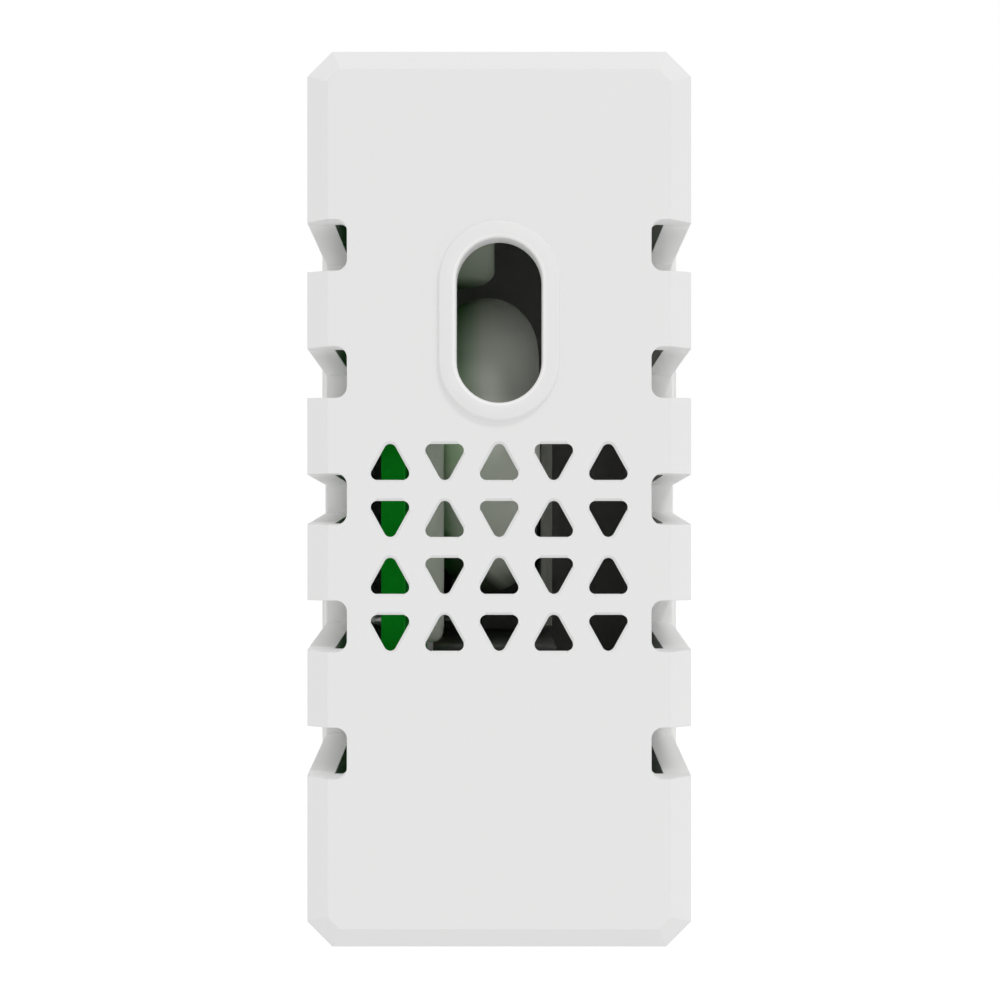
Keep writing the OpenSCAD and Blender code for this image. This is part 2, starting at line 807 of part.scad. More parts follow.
// Lead that starts level at a height over the board, bends and goes down through it.
// It runs along +x for a length, counted to the middle of the hole.
module bent_lead(run, lift, dia) {
    tail = board_t + solder_h + lead_end;
    translate([0, 0, lift])
        rotate([0, 90, 0])
            cylinder(d = dia, h = run - bend_r);
    translate([run - bend_r, 0, lift - bend_r])
        rotate([90, 0, 0])
            rotate_extrude(angle = 90)
                translate([bend_r, 0]) circle(d = dia);
    translate([run, 0, -tail])
        cylinder(d = dia, h = lift - bend_r + tail);
}

// Pair of bent leads of an axial piece that lies along y
module axial_leads(span, body_l, lift, dia) {
    for (side = [-1, 1])
        rotate([0, 0, side * 90])
            translate([body_l / 2 - lead_in, 0, 0])
                bent_lead(span / 2 - body_l / 2 + lead_in, lift, dia);
}

// Coated disc that stands parallel to the board, with a swollen rim
module varistor(dia, thick, rim, lift, pitch, hole, lead) {
    start = sqrt(pow(dia / 2 - rim / 4, 2) - pow(pitch / 2, 2));
    translate([0, 0, lift])
        rotate_extrude($fn = 96)
            polygon(concat([[0, -thick / 2]],
                [for (a = [-90 : 10 : 90]) [dia / 2 - rim + rim * cos(a), thick / 2 * sin(a)]],
                [[0, thick / 2]]));
    for (side = [-1, 1])
        translate([start, side * pitch / 2, 0])
            bent_lead(hole - start, lift, lead);
}

module varistor_line_neutral() {
    color(coat_grey)
        on_board(big_depth, big_z)
            varistor(big_dia, big_t, big_rim, big_lift, big_pitch, big_reach - big_depth, lead_dia);
}

module varistor_line_earth() {
    color([0.7, 0.73, 0.68])
        on_board(small_depth, small_z)
            varistor(small_dia, small_t, small_rim, small_lift, small_pitch, small_reach - small_depth,
                thin_dia);
}

// Slim round body with domed ends that lies along y
module capsule(dia, l, dome, lift) {
    translate([0, 0, lift])
        rotate([90, 0, 0])
            rotate_extrude()
                polygon(concat([[0, -l / 2]],
                    [for (a = [0 : 15 : 90]) [dia / 2 * sin(a), -l / 2 + dome * (1 - cos(a))]],
                    [for (a = [90 : -15 : 0]) [dia / 2 * sin(a), l / 2 - dome * (1 - cos(a))]]));
}

module thermal_fuse() {
    color([0.8, 0.81, 0.78])
        on_board(fuse_depth, fuse_z) {
            capsule(fuse_dia, fuse_l, fuse_dia / 2, fuse_dia / 2 + fuse_gap);
            axial_leads(fuse_span, fuse_l, fuse_dia / 2 + fuse_gap, thin_dia);
        }
}

module gas_discharge_tube() {
    lift = tube_dia / 2 + fit;
    color([0.88, 0.88, 0.86])
        on_board(tube_depth, tube_z) {
            translate([0, tube_l / 2, lift])
                rotate([90, 0, 0]) {
                    cylinder(d = tube_dia - 2 * cap_rise, h = tube_l);
                    cylinder(d = tube_dia, h = cap_l);
                    translate([0, 0, tube_l - cap_l]) cylinder(d = tube_dia, h = cap_l);
                }
            axial_leads(tube_span, tube_l, lift, lead_dia);
        }
}

module film_capacitor() {
    stand = fit;
    color([0.13, 0.13, 0.14])
        on_board(film_depth, film_low) {
            translate([0, 0, stand])
                cube([film_d, film_h, film_w]);
            for (z = [film_end, film_h - film_end])
                translate([film_d / 2, z, -board_t - solder_h - lead_end])
                    cylinder(d = thin_dia, h = board_t + solder_h + 1);
        }
}

// Resistor or diode with rounded ends, standing a clearance off the board
module axial_piece(dia, l, place, turn = 0) {
    on_board(place[0], place[1])
        rotate(turn) {
            capsule(dia, l, dia / 4, dia / 2 + fit);
            axial_leads(l + 2 * axial_run, l, dia / 2 + fit, thin_dia);
        }
}

module dropper_resistor() {
    color([0.35, 0.55, 0.7]) axial_piece(axial_dia, axial_l, dropper_at);
}

module bleed_resistor() {
    color([0.35, 0.55, 0.7]) axial_piece(bleed_dia, bleed_l, bleed_at);
}

module series_resistor() {
    color([0.35, 0.55, 0.7]) axial_piece(axial_dia, axial_l, series_at);
}

module rectifier_diode() {
    color([0.12, 0.12, 0.12]) axial_piece(diode_dia, diode_l, diode_at);
}

module clamp_diode() {
    color([0.7, 0.35, 0.2]) axial_piece(diode_dia, diode_l, clamp_at, 90);
}

module indicator_led() {
    foot = led_dia / 2 + led_rim;
    color([0.95, 0.3, 0.25])
        on_board(led_at, lens_z) {
            translate([0, 0, board_x])
                rotate([0, 90, 0])
                    rotate_extrude()
                        polygon(concat([[0, 0], [foot, 0], [foot, led_rim_t], [led_dia / 2, led_rim_t]],
                            [for (a = [0 : 10 : 90])
                                [led_dia / 2 * cos(a), led_l - led_dia / 2 + led_dia / 2 * sin(a)]]));
            for (side = [-1, 1])
                translate([lead_in, side * led_pitch / 2, 0])
                    mirror([1, 0, 0])
                        bent_lead(led_at + lead_in - led_reach, board_x, thin_dia);
        }
}

// Flat solder tag with an eye, on a round pin
module tag(i) {
    color(steel)
        on_board(tag_depth, tag_height(i)) {
            difference() {
                translate([-tag_t / 2, -tag_w / 2, fit / 2])
                    cube([tag_t, tag_w, tag_h]);
                translate([-1, 0, tag_h - tag_w / 2])
                    rotate([0, 90, 0])
                        cylinder(d = tag_w / 2, h = 2);
            }
            translate([0, 0, -board_t - solder_h - lead_end])
                cylinder(d = lead_dia, h = board_t + solder_h + 1);
        }
}

module line_tag() {
    tag(0);
}

module neutral_tag() {
    tag(1);
}

module earth_tag() {
    tag(2);
}

module insulation_sheet() {
    color([0.45, 0.46, 0.43])
        block([sheet_x, sheet_x + sheet_t], [board_in + sheet_back, inside_front],
            [sheet_mid - sheet_h / 2, sheet_mid + sheet_h / 2]);
}

rear_cover();
front_housing();
face_plate();
indicator_lens();
circuit_board();
varistor_line_neutral();
varistor_line_earth();
gas_discharge_tube();
thermal_fuse();
film_capacitor();
dropper_resistor();
bleed_resistor();
series_resistor();
rectifier_diode();
clamp_diode();
indicator_led();
line_tag();
neutral_tag();
earth_tag();
insulation_sheet();
solder_joints();
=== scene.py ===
import math

import bmesh
import bpy
import numpy as np
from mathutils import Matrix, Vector


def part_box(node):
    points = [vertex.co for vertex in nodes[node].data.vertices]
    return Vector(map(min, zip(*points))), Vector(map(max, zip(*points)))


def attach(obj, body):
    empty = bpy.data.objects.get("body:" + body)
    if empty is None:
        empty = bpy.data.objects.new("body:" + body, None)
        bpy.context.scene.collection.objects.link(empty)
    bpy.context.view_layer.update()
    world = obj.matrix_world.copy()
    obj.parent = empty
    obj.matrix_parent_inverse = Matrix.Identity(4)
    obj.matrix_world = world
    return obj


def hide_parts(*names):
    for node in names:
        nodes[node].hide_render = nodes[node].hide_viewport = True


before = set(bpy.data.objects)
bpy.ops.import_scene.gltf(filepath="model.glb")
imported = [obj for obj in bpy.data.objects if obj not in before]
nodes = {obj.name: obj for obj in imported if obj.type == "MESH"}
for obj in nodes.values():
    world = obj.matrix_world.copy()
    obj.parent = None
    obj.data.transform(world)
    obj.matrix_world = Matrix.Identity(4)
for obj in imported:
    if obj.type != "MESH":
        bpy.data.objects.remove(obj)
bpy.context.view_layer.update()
scene = bpy.context.scene
mm = 0.001
print("frame loaded:", len(nodes), "nodes")

coverLow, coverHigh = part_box("rear_cover")
rimLow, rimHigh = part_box("front_housing")
lipDepth = 0.38 * mm
backFace = coverLow.y + lipDepth
midHeight = (coverLow.z + coverHigh.z) / 2


def place(x, depth, height):
    # from millimetres across, forward from the back face and up from the middle to the part's frame
    return np.array([x * mm, backFace + depth * mm, midHeight + height * mm])


class Nodes:
    # Small helper that adds shader nodes and links them
    def __init__(self, tree):
        self.tree = tree

    def add(self, kind, **settings):
        node = self.tree.nodes.new(kind)
        for name, value in settings.items():
            setattr(node, name, value)
        return node

    def fill(self, socket, value):
        # links an input to another socket, or sets it
        if isinstance(value, bpy.types.NodeSocket):
            self.tree.links.new(value, socket)
        else:
            socket.default_value = value

    def put(self, node, **values):
        # fills the inputs of a node by name, with _ for a space
        for name, value in values.items():
            self.fill(node.inputs[name.replace("_", " ")], value)
        return node

    def math(self, operation, *values):
        node = self.add("ShaderNodeMath", operation=operation)
        for socket, value in zip(node.inputs, values):
            self.fill(socket, value)
        return node.outputs[0]

    def product(self, value, *others):
        for other in others:
            value = self.math("MULTIPLY", value, other)
        return value

    def mix(self, factor, a, b, blend="MIX"):
        # mixes two colours, each a socket or three numbers
        node = self.add("ShaderNodeMix", data_type="RGBA", blend_type=blend)
        for index, value in ((0, factor), (6, a), (7, b)):
            self.fill(node.inputs[index], (*value, 1) if isinstance(value, tuple) else value)
        return node.outputs[2]

    def spread(self, value, low, high, newLow=0.0, newHigh=1.0):
        # carries the range from low to high over to another one, and holds it at its ends
        node = self.add("ShaderNodeMapRange", clamp=True)
        self.put(node, Value=value, From_Min=low, From_Max=high, To_Min=newLow, To_Max=newHigh)
        return node.outputs[0]

    def ownPlace(self):
        return self.add("ShaderNodeTexCoord").outputs["Object"]

    def part(self, vector, axis):
        return self.put(self.add("ShaderNodeSeparateXYZ"), Vector=vector).outputs[axis]

    def normalPart(self, axis):
        # how far a face looks along an axis
        return self.part(self.add("ShaderNodeNewGeometry").outputs["Normal"], axis)

    def noise(self, scale, detail, source=None, **more):
        node = self.add("ShaderNodeTexNoise")
        self.put(node, Vector=source or self.ownPlace(), Scale=scale, Detail=detail, **more)
        return node.outputs[0]


picture = {
    "imageSide": 1000,  # pixels
    "pixelsPerMm": 18.7,  # at the vented back face
    "cameraDistance": 85.6 * mm,  # from that face
    "nearest": 5 * mm,  # that the camera sees
    "offCentre": (0.8, 0.8),  # pixels that the object stands left of and above the middle
    "sensor": 36.0,
    "skyFront": 0.712,  # what lights the part from the camera's side
    "skyRear": 0.90,  # and from the backdrop's side
    "skyTurn": 0.4,  # how far a direction leans to either side where the sky is all front or all rear
    "skySeen": 1.0,  # what the camera sees, so that the backdrop is pure white
    "keyDirection": (0.30, -0.60, 0.745),  # from the part to the light
    "keyStrength": 0.48,
    "keyAngle": 12.0,  # degrees across, which softens the shadows
    "floorSide": 4.0,
    "floorColor": (0.08, 0.08, 0.08),
    "floorRoughness": 0.9,
    "floorGlow": 0.72,
    "floorSeen": 0.95,
}


def buildPicture(p):
    cameraData = bpy.data.cameras.new("cameraPhoto")
    cameraData.sensor_width = p["sensor"]
    cameraData.lens = p["sensor"] * p["pixelsPerMm"] / mm * p["cameraDistance"] / p["imageSide"]
    cameraData.shift_x = p["offCentre"][0] / p["imageSide"]
    cameraData.shift_y = -p["offCentre"][1] / p["imageSide"]
    cameraData.clip_start = p["nearest"]
    camera = bpy.data.objects.new("cameraPhoto", cameraData)
    camera.location = (0, backFace - p["cameraDistance"], midHeight)
    camera.rotation_euler = (math.pi / 2, 0, 0)
    scene.collection.objects.link(camera)
    scene.camera = camera

    sky = bpy.data.worlds.new("paleStudio")
    sky.use_nodes = True
    n = Nodes(sky.node_tree)
    seen = n.add("ShaderNodeLightPath").outputs["Is Camera Ray"]
    lit = n.spread(n.part(n.ownPlace(), "Y"), -p["skyTurn"], p["skyTurn"], p["skyFront"], p["skyRear"])
    unseen = n.product(lit, n.math("SUBTRACT", 1.0, seen))
    n.put(sky.node_tree.nodes["Background"], Color=(1, 1, 1, 1),
          Strength=n.math("ADD", unseen, n.product(seen, p["skySeen"])))
    scene.world = sky

    key = bpy.data.lights.new("keyLight", "SUN")
    key.energy = p["keyStrength"]
    key.angle = math.radians(p["keyAngle"])
    keyObject = bpy.data.objects.new("keyLight", key)
    keyObject.rotation_euler = Vector(p["keyDirection"]).to_track_quat("Z", "Y").to_euler()
    scene.collection.objects.link(keyObject)

    scene.view_settings.view_transform = "Standard"
    scene.view_settings.look = "None"


buildPicture(picture)


def newGroup(name, inputs, outputs):
    # Node group of plain values: its inputs with their defaults, and the names of its outputs
    group = bpy.data.node_groups.new(name, "ShaderNodeTree")
    for socketName, value in inputs.items():
        socket = group.interface.new_socket(socketName, in_out="INPUT", socket_type="NodeSocketFloat")
        socket.default_value = value
    for socketName in outputs:
        group.interface.new_socket(socketName, in_out="OUTPUT", socket_type="NodeSocketFloat")
    n = Nodes(group)
    return group, n, n.add("NodeGroupInput").outputs, n.add("NodeGroupOutput")


def buildMouldGrain():
    # Spark-eroded mould texture: fine noise for the height, broad noise for slight colour drift
    group, n, source, target = newGroup("mouldGrain", {"Size": 0.12}, ("Height", "Drift"))
    fine = n.noise(n.math("DIVIDE", 1 / mm, source["Size"]), 3.0, Roughness=0.6)
    n.put(target, Height=fine, Drift=n.noise(95.0, 2.0))
    return group


def buildEdgeRub():
    # Convex edges, broken up by noise, where handling polishes or chips a surface
    group, n, source, target = newGroup("edgeRub", {"Start": 0.52, "Full": 0.60, "Amount": 0.5}, ["Mask"])
    pointed = n.add("ShaderNodeNewGeometry").outputs["Pointiness"]
    edge = n.spread(pointed, source["Start"], source["Full"])
    broken = n.spread(n.noise(900.0, 3.0), 0.35, 0.7)
    n.put(target, Mask=n.product(edge, broken, source["Amount"]))
    return group


def buildSettledDust():
    # Thin dust on what faces up, more in the broad patches; in a large amount it is also painted light that
    # lightens a top face
    group, n, source, target = newGroup("settledDustAndTopLight", {"Amount": 0.1}, ["Mask"])
    facing = n.spread(n.normalPart("Z"), 0.2, 0.95)
    patchy = n.spread(n.noise(260.0, 5.0, Roughness=0.7), 0.3, 0.75)
    n.put(target, Mask=n.product(facing, patchy, source["Amount"]))
    return group


def buildBandEdge():
    # One painted band, in millimetres: 1 inside, 0 outside, with a slightly wavy brush edge
    group, n, source, target = newGroup("bandEdge", {"Along": 0.0, "Centre": 0.0, "Half": 0.3}, ["Mask"])
    shift = n.product(n.math("SUBTRACT", n.noise(1300.0, 2.0), 0.5), 0.12)
    along = n.math("ADD", source["Along"], shift)
    away = n.math("ABSOLUTE", n.math("SUBTRACT", along, source["Centre"]))
    n.put(target, Mask=n.spread(n.math("SUBTRACT", away, source["Half"]), -0.02, 0.02, 1.0, 0.0))
    return group


def buildTarnish():
    # Dull and stained areas of a tin or copper surface
    group, n, source, target = newGroup("tarnish", {"Amount": 0.5}, ("Mask", "Height"))
    cloud = n.noise(1100.0, 4.0, Roughness=0.65)
    pits = n.noise(5200.0, 2.0)
    n.put(target, Mask=n.product(n.spread(cloud, 0.38, 0.68), source["Amount"]),
          Height=n.math("ADD", cloud, n.product(pits, 0.4)))
    return group


def buildFibres():
    # Pressed card: long fibres from noise that is stretched along the height, and a few dark specks
    group, n, source, target = newGroup("fibres", {"Size": 0.2}, ("Shade", "Specks"))
    squeeze = n.put(n.add("ShaderNodeMapping"), Vector=n.ownPlace(), Scale=(1.0, 1.0, 0.16))
    frequency = n.math("DIVIDE", 1 / mm, source["Size"])
    strands = n.noise(frequency, 4.0, squeeze.outputs[0], Distortion=1.2)
    specks = n.put(n.add("ShaderNodeTexVoronoi"), Vector=n.ownPlace(), Scale=1400.0).outputs[0]
    n.put(target, Shade=strands, Specks=n.spread(specks, 0.05, 0.12, 1.0, 0.0))
    return group


mouldGrain = buildMouldGrain()
edgeRub = buildEdgeRub()
settledDustAndTopLight = buildSettledDust()
bandEdge = buildBandEdge()
tarnish = buildTarnish()
fibres = buildFibres()


def newMaterial(name):
    material = bpy.data.materials.new(name)
    material.use_nodes = True
    return material, Nodes(material.node_tree), material.node_tree.nodes["Principled BSDF"]


def useGroup(n, group, **values):
    return n.put(n.add("ShaderNodeGroup", node_tree=group), **values).outputs


def scaled(color, factor, lift=0.0):
    return tuple(min(1, c * factor + lift) for c in color)


def measured(n, axis, centre=(0, 0, 0)):
    # One coordinate of a piece in millimetres, counted from a centre that is given as for place()
    centred = n.add("ShaderNodeMapping", vector_type="TEXTURE")
    n.put(centred, Vector=n.ownPlace(), Location=tuple(place(*centre)), Scale=(mm, mm, mm))
    return n.part(centred.outputs[0], axis)


def fromMiddlePlane(n):
    return n.math("ABSOLUTE", measured(n, "X"))


def addBump(n, shader, height, tall, strength):
    # tall is the height of the bumps in millimetres
    bump = n.put(n.add("ShaderNodeBump"), Height=height, Distance=tall * mm, Strength=strength)
    n.put(shader, Normal=bump.outputs[0])
    return bump


dustAndTopLightColor = (0.6, 0.585, 0.56)


def mouldedPlastic(name, color, roughness, grain=0.12, depth=0.2, drift=0.02, dustAndTopLight=0.04, rub=0.2,
                   specular=0.5, soften=0.0, softFrom=0.0):
    # Plastic with mould grain, a slight drift in colour, rubbed edges and dust on what faces up, which in a
    # large amount is also painted light on a top face. soften is the radius over which the shading rounds an
    # edge that lies further from the middle plane than softFrom. Both are in millimetres.
    material, n, shader = newMaterial(name)
    texture = useGroup(n, mouldGrain, Size=grain)
    rubbed = useGroup(n, edgeRub, Amount=rub)["Mask"]
    dustAndTopLightMask = useGroup(n, settledDustAndTopLight, Amount=dustAndTopLight)["Mask"]
    base = n.mix(texture["Drift"], scaled(color, 1 - drift), scaled(color, 1 + drift))
    base = n.mix(rubbed, base, scaled(color, 1.1, 0.02))
    base = n.mix(dustAndTopLightMask, base, dustAndTopLightColor)
    rough = n.spread(texture["Drift"], 0.25, 0.75, roughness - 0.05, roughness + 0.05)
    rough = n.math("SUBTRACT", rough, n.product(rubbed, 0.25))
    n.put(shader, Base_Color=base, Roughness=rough, Specular_IOR_Level=specular)
    bump = addBump(n, shader, texture["Height"], 0.02, depth)
    if soften:
        radius = n.spread(fromMiddlePlane(n), softFrom, softFrom + 0.3, 0.0, soften * mm)
        n.put(bump, Normal=n.put(n.add("ShaderNodeBevel", samples=8), Radius=radius).outputs[0])
    return material


def tinnedMetal(name, color, roughness, amount=0.5, dull=(0.42, 0.42, 0.41)):
    # Tinned or soldered metal: bright, with dull clouds and fine pits
    material, n, shader = newMaterial(name)
    stainAndShade = useGroup(n, tarnish, Amount=amount)
    rubbed = useGroup(n, edgeRub, Amount=0.6)["Mask"]
    base = n.mix(rubbed, n.mix(stainAndShade["Mask"], color, dull), scaled(color, 1.15))
    rough = n.math("ADD", n.product(stainAndShade["Mask"], 0.3), roughness)
    rough = n.math("SUBTRACT", rough, n.product(rubbed, 0.1))
    n.put(shader, Base_Color=base, Roughness=rough, Metallic=1.0)
    addBump(n, shader, stainAndShade["Height"], 0.02, 0.25)
    return material


def pressedCard(name, color, roughness):
    # Card that is lighter and darker along its fibres, with a few dark specks
    material, n, shader = newMaterial(name)
    card = useGroup(n, fibres, Size=0.35)
    base = n.mix(n.spread(card["Shade"], 0.3, 0.7), scaled(color, 0.86), scaled(color, 1.14))
    base = n.mix(n.product(card["Specks"], 0.5), base, scaled(color, 0.4))
    rough = n.spread(card["Shade"], 0.3, 0.7, roughness - 0.06, roughness + 0.08)
    n.put(shader, Base_Color=base, Roughness=rough)
    addBump(n, shader, card["Shade"], 0.04, 0.4)
    return material


def glossed(material, coat):
    # Adds a clear coat, as on lacquer and glass
    n = Nodes(material.node_tree)
    n.put(material.node_tree.nodes["Principled BSDF"], Coat_Weight=coat, Coat_Roughness=0.08)
    return material


def lacquer(name):
    # Pale blue lacquer of a resistor
    body = mouldedPlastic(name, (0.16, 0.34, 0.46), 0.32, grain=0.4, depth=0.15, drift=0.05, dustAndTopLight=0.1)
    return glossed(body, 0.6)


def recolor(material, mask, color, blend="MULTIPLY"):
    # Multiplies a material's colour, or mixes it with another, where mask(n) is 1
    n = Nodes(material.node_tree)
    shader = material.node_tree.nodes["Principled BSDF"]
    base = shader.inputs["Base Color"].links[0].from_socket
    n.put(shader, Base_Color=n.mix(mask(n), base, color, blend))


# Zones of painted light and shade, and of a darker board back, that differ from the rest of their piece, in
# millimetres: across from the middle plane, forward from the back face and up from the middle. A pair is the
# stretch over which a zone fades in or out, but for the hollow its two ends.
zones = {
    "hollow": {"across": 10.2, "forward": (15.4, 27.9), "up": 24.0},
    "innerWalls": {"from": (8.85, 8.9), "to": (9.4, 9.5), "forward": (1.35, 1.4)},
    "slots": {"across": (8.9, 9.0), "forward": (1.6, 2.0), "up": 18.0},
    "outlet": {"middle": (0, 0, 9.55), "straight": 2.1, "radius": (2.45, 2.52)},
    "boardFront": (-5.262, -5.255),
    "boardBack": (-6.525, -6.515),
}

# Centres of the two coated discs, and the patches of painted shade and painted reflection on their coats, in
# millimetres from the centre
largeDisc = {
    "centre": (-0.74, 12.6, 3.3),
    "shadeIn": (0.0, 2.6),
    "shadeEase": (3.0, 5.6, 0.0, 0.28),  # from where to where the painted shade eases, and by how much
    "reflectionAcross": (-1.6, -0.2),
    "reflectionUp": (-3.0, -1.0),
    "stainAndShade": (-8.1, -7.2),
}
smallDisc = {"centre": (-2.44, 10.0, 17.35), "dark": (-4.75, -4.3)}


def within(n, axis, low, high, edge=0.1):
    # 1 between two places along an axis, fading to 0 over edge on both sides
    along = measured(n, axis)
    return n.product(n.spread(along, low - edge, low), n.spread(along, high, high + edge, 1.0, 0.0))


def paintedShadeInHollow(n):
    # painted shade inside the housing: its inner faces are darker
    zone = zones["hollow"]
    across = within(n, "X", -zone["across"], zone["across"])
    up = within(n, "Z", -zone["up"], zone["up"])
    return n.product(across, up, within(n, "Y", *zone["forward"]))


def facesAside(n):
    # 1 on faces that look left or right
    return n.spread(n.math("ABSOLUTE", n.normalPart("X")), 0.4, 0.7)


def paintedShadeOnInnerWalls(n):
    # painted shade on the inner faces of the cover's side walls, as in the hollow of the housing
    zone = zones["innerWalls"]
    aside = fromMiddlePlane(n)
    forward = n.spread(measured(n, "Y"), *zone["forward"])
    return n.product(n.spread(aside, *zone["from"]), n.spread(aside, *zone["to"], 1.0, 0.0), forward,
                     facesAside(n))


def inSlots(n):
    # the walls of the side slots, which lie in shade and get painted light
    zone = zones["slots"]
    aside = n.spread(fromMiddlePlane(n), *zone["across"])
    forward = n.spread(measured(n, "Y"), *zone["forward"])
    up = within(n, "Z", -zone["up"], zone["up"])
    return n.product(aside, forward, up, n.math("SUBTRACT", 1.0, facesAside(n)))


def inOutlet(n):
    # the wall of the outlet: what lies close to the line between the middles of its two round ends
    zone = zones["outlet"]
    height = n.math("ABSOLUTE", measured(n, "Z", zone["middle"]))
    beyond = n.math("MAXIMUM", n.math("SUBTRACT", height, zone["straight"]), 0.0)
    across = measured(n, "X")
    square = n.math("ADD", n.product(across, across), n.product(beyond, beyond))
    return n.spread(n.math("SQRT", square), *zone["radius"], 1.0, 0.0)


# painted light: lightens the walls of the side slots and of the outlet, which lie in shade
def paintedLightInSlotsAndOutlet(n):
    return n.math("MAXIMUM", inSlots(n), inOutlet(n))


def paintedShadeOnUpperDisc(n):
    # painted shade on the upper part of the large disc, darkest in a band just above the middle, which evens
    # out the light that falls in through the outlet
    up = measured(n, "Z", largeDisc["centre"])
    return n.math("SUBTRACT", n.spread(up, *largeDisc["shadeIn"]), n.spread(up, *largeDisc["shadeEase"]))


def paintedBoardReflection(n):
    # painted reflection: a green tinge of light from the board on the side of the large disc towards it
    side = n.spread(measured(n, "X", largeDisc["centre"]), *largeDisc["reflectionAcross"], 1.0, 0.0)
    return n.product(side, n.spread(measured(n, "Z", largeDisc["centre"]), *largeDisc["reflectionUp"]))


def paintedShadeOnLowerCorner(n):
    # painted shade on the lower corner of the large disc towards the board
    across, up = (measured(n, axis, largeDisc["centre"]) for axis in "XZ")
    return n.spread(n.math("ADD", across, up), *largeDisc["stainAndShade"], 1.0, 0.0)


def paintedShadeOnLowestPart(n):
    # painted shade on the lowest part of the small disc
    return n.spread(measured(n, "Z", smallDisc["centre"]), *smallDisc["dark"], 1.0, 0.0)


# painted light: the component side of the board is a lighter green, as where light falls on it
def paintedLightOnComponentSide(n):
    return n.spread(measured(n, "X"), *zones["boardFront"])


def solderSide(n):
    # the back of the board, where the mask is a darker, duller green
    return n.spread(measured(n, "X"), *zones["boardBack"], 1.0, 0.0)


materials = {
    "cover": mouldedPlastic("coverPlastic", (0.910, 0.910, 0.908), 0.5, grain=0.10, depth=0.12, drift=0.006,
                            rub=0, soften=0.06, softFrom=7.2),
    "housing": mouldedPlastic("housingPlastic", (0.925, 0.925, 0.917), 0.5, grain=0.10, depth=0.12,
                              drift=0.006, rub=0),
    "face": mouldedPlastic("facePlastic", (0.84, 0.84, 0.832), 0.3, grain=0.25, depth=0.05, drift=0.006,
                           rub=0, soften=0.12, softFrom=-1.0),
    "lens": glossed(mouldedPlastic("lensPlastic", (0.72, 0.06, 0.04), 0.2, depth=0.02, drift=0.04), 0.8),
    "board": mouldedPlastic("boardMask", (0.001, 0.37, 0.016), 0.5, grain=0.2, depth=0.1, drift=0.06,
                            specular=0.05, dustAndTopLight=0.01, rub=0),
    "track": mouldedPlastic("trackMask", (0.004, 0.42, 0.03), 0.42, grain=0.3, depth=0.1, drift=0.05,
                            specular=0.2),
    "pad": tinnedMetal("padTin", (0.66, 0.66, 0.65), 0.28, 0.6),
    "solder": tinnedMetal("solderTin", (0.40, 0.40, 0.40), 0.3, 0.5, (0.20, 0.20, 0.19)),
    "lead": tinnedMetal("leadTin", (0.60, 0.60, 0.60), 0.3, 0.6),
    "coating": mouldedPlastic("varistorCoating", (0.86, 0.905, 0.795), 0.5, grain=0.45, depth=0.25,
                              drift=0.03),
    "paleCoating": mouldedPlastic("paleVaristorCoating", (0.48, 0.54, 0.435), 0.42, grain=0.4, depth=0.25,
                                  drift=0.03),
    "fuse": mouldedPlastic("fuseCeramic", (0.74, 0.78, 0.69), 0.5, grain=0.3, depth=0.3, drift=0.04),
    "resin": mouldedPlastic("sealingResin", (0.72, 0.75, 0.66), 0.35, grain=0.5, depth=0.3, drift=0.06),
    "tube": glossed(mouldedPlastic("tubeCeramic", (0.72, 0.72, 0.69), 0.3, grain=0.3, drift=0.03), 0.3),
    # the heavy dust here is mostly painted light: it lightens the top face of the dark box
    "capacitor": mouldedPlastic("capacitorCase", (0.075, 0.075, 0.077), 0.4, grain=0.15, depth=0.3,
                                dustAndTopLight=0.7),
    "dropper": lacquer("dropperLacquer"),
    "bleed": lacquer("bleedLacquer"),
    "series": lacquer("seriesLacquer"),
    "diode": mouldedPlastic("diodeCase", (0.02, 0.02, 0.02), 0.35, grain=0.15, depth=0.3),
    "glass": glossed(mouldedPlastic("diodeGlass", (0.5, 0.16, 0.05), 0.15, depth=0.05, drift=0.2), 1.0),
    "led": glossed(mouldedPlastic("ledPlastic", (0.75, 0.12, 0.08), 0.2, depth=0.03), 0.8),
    "card": pressedCard("insulationCard", (0.24, 0.243, 0.217), 0.6),
}
# Patches that change a material's colour: painted light, painted shade, a painted reflection and a darker
# board back
patches = [
    ("cover", paintedLightInSlotsAndOutlet, (1.095, 1.09, 1.09)),
    ("cover", paintedShadeOnInnerWalls, (0.68, 0.68, 0.67)),
    ("housing", paintedShadeInHollow, (0.40, 0.40, 0.39)),
    ("board", paintedLightOnComponentSide, (0.03, 0.72, 0.08), "MIX"),
    ("board", solderSide, (0.022, 0.135, 0.03), "MIX"),
    ("track", solderSide, (0.03, 0.17, 0.04), "MIX"),
    ("coating", paintedShadeOnUpperDisc, (0.46, 0.46, 0.46)),
    ("coating", paintedBoardReflection, (0.62, 0.80, 0.60)),
    ("coating", paintedShadeOnLowerCorner, (0.12, 0.15, 0.11)),
    ("paleCoating", paintedShadeOnLowestPart, (0.22, 0.27, 0.21)),
]
for kind, mask, color, *blend in patches:
    recolor(materials[kind], mask, color, *blend)
print("materials made:", len(materials))


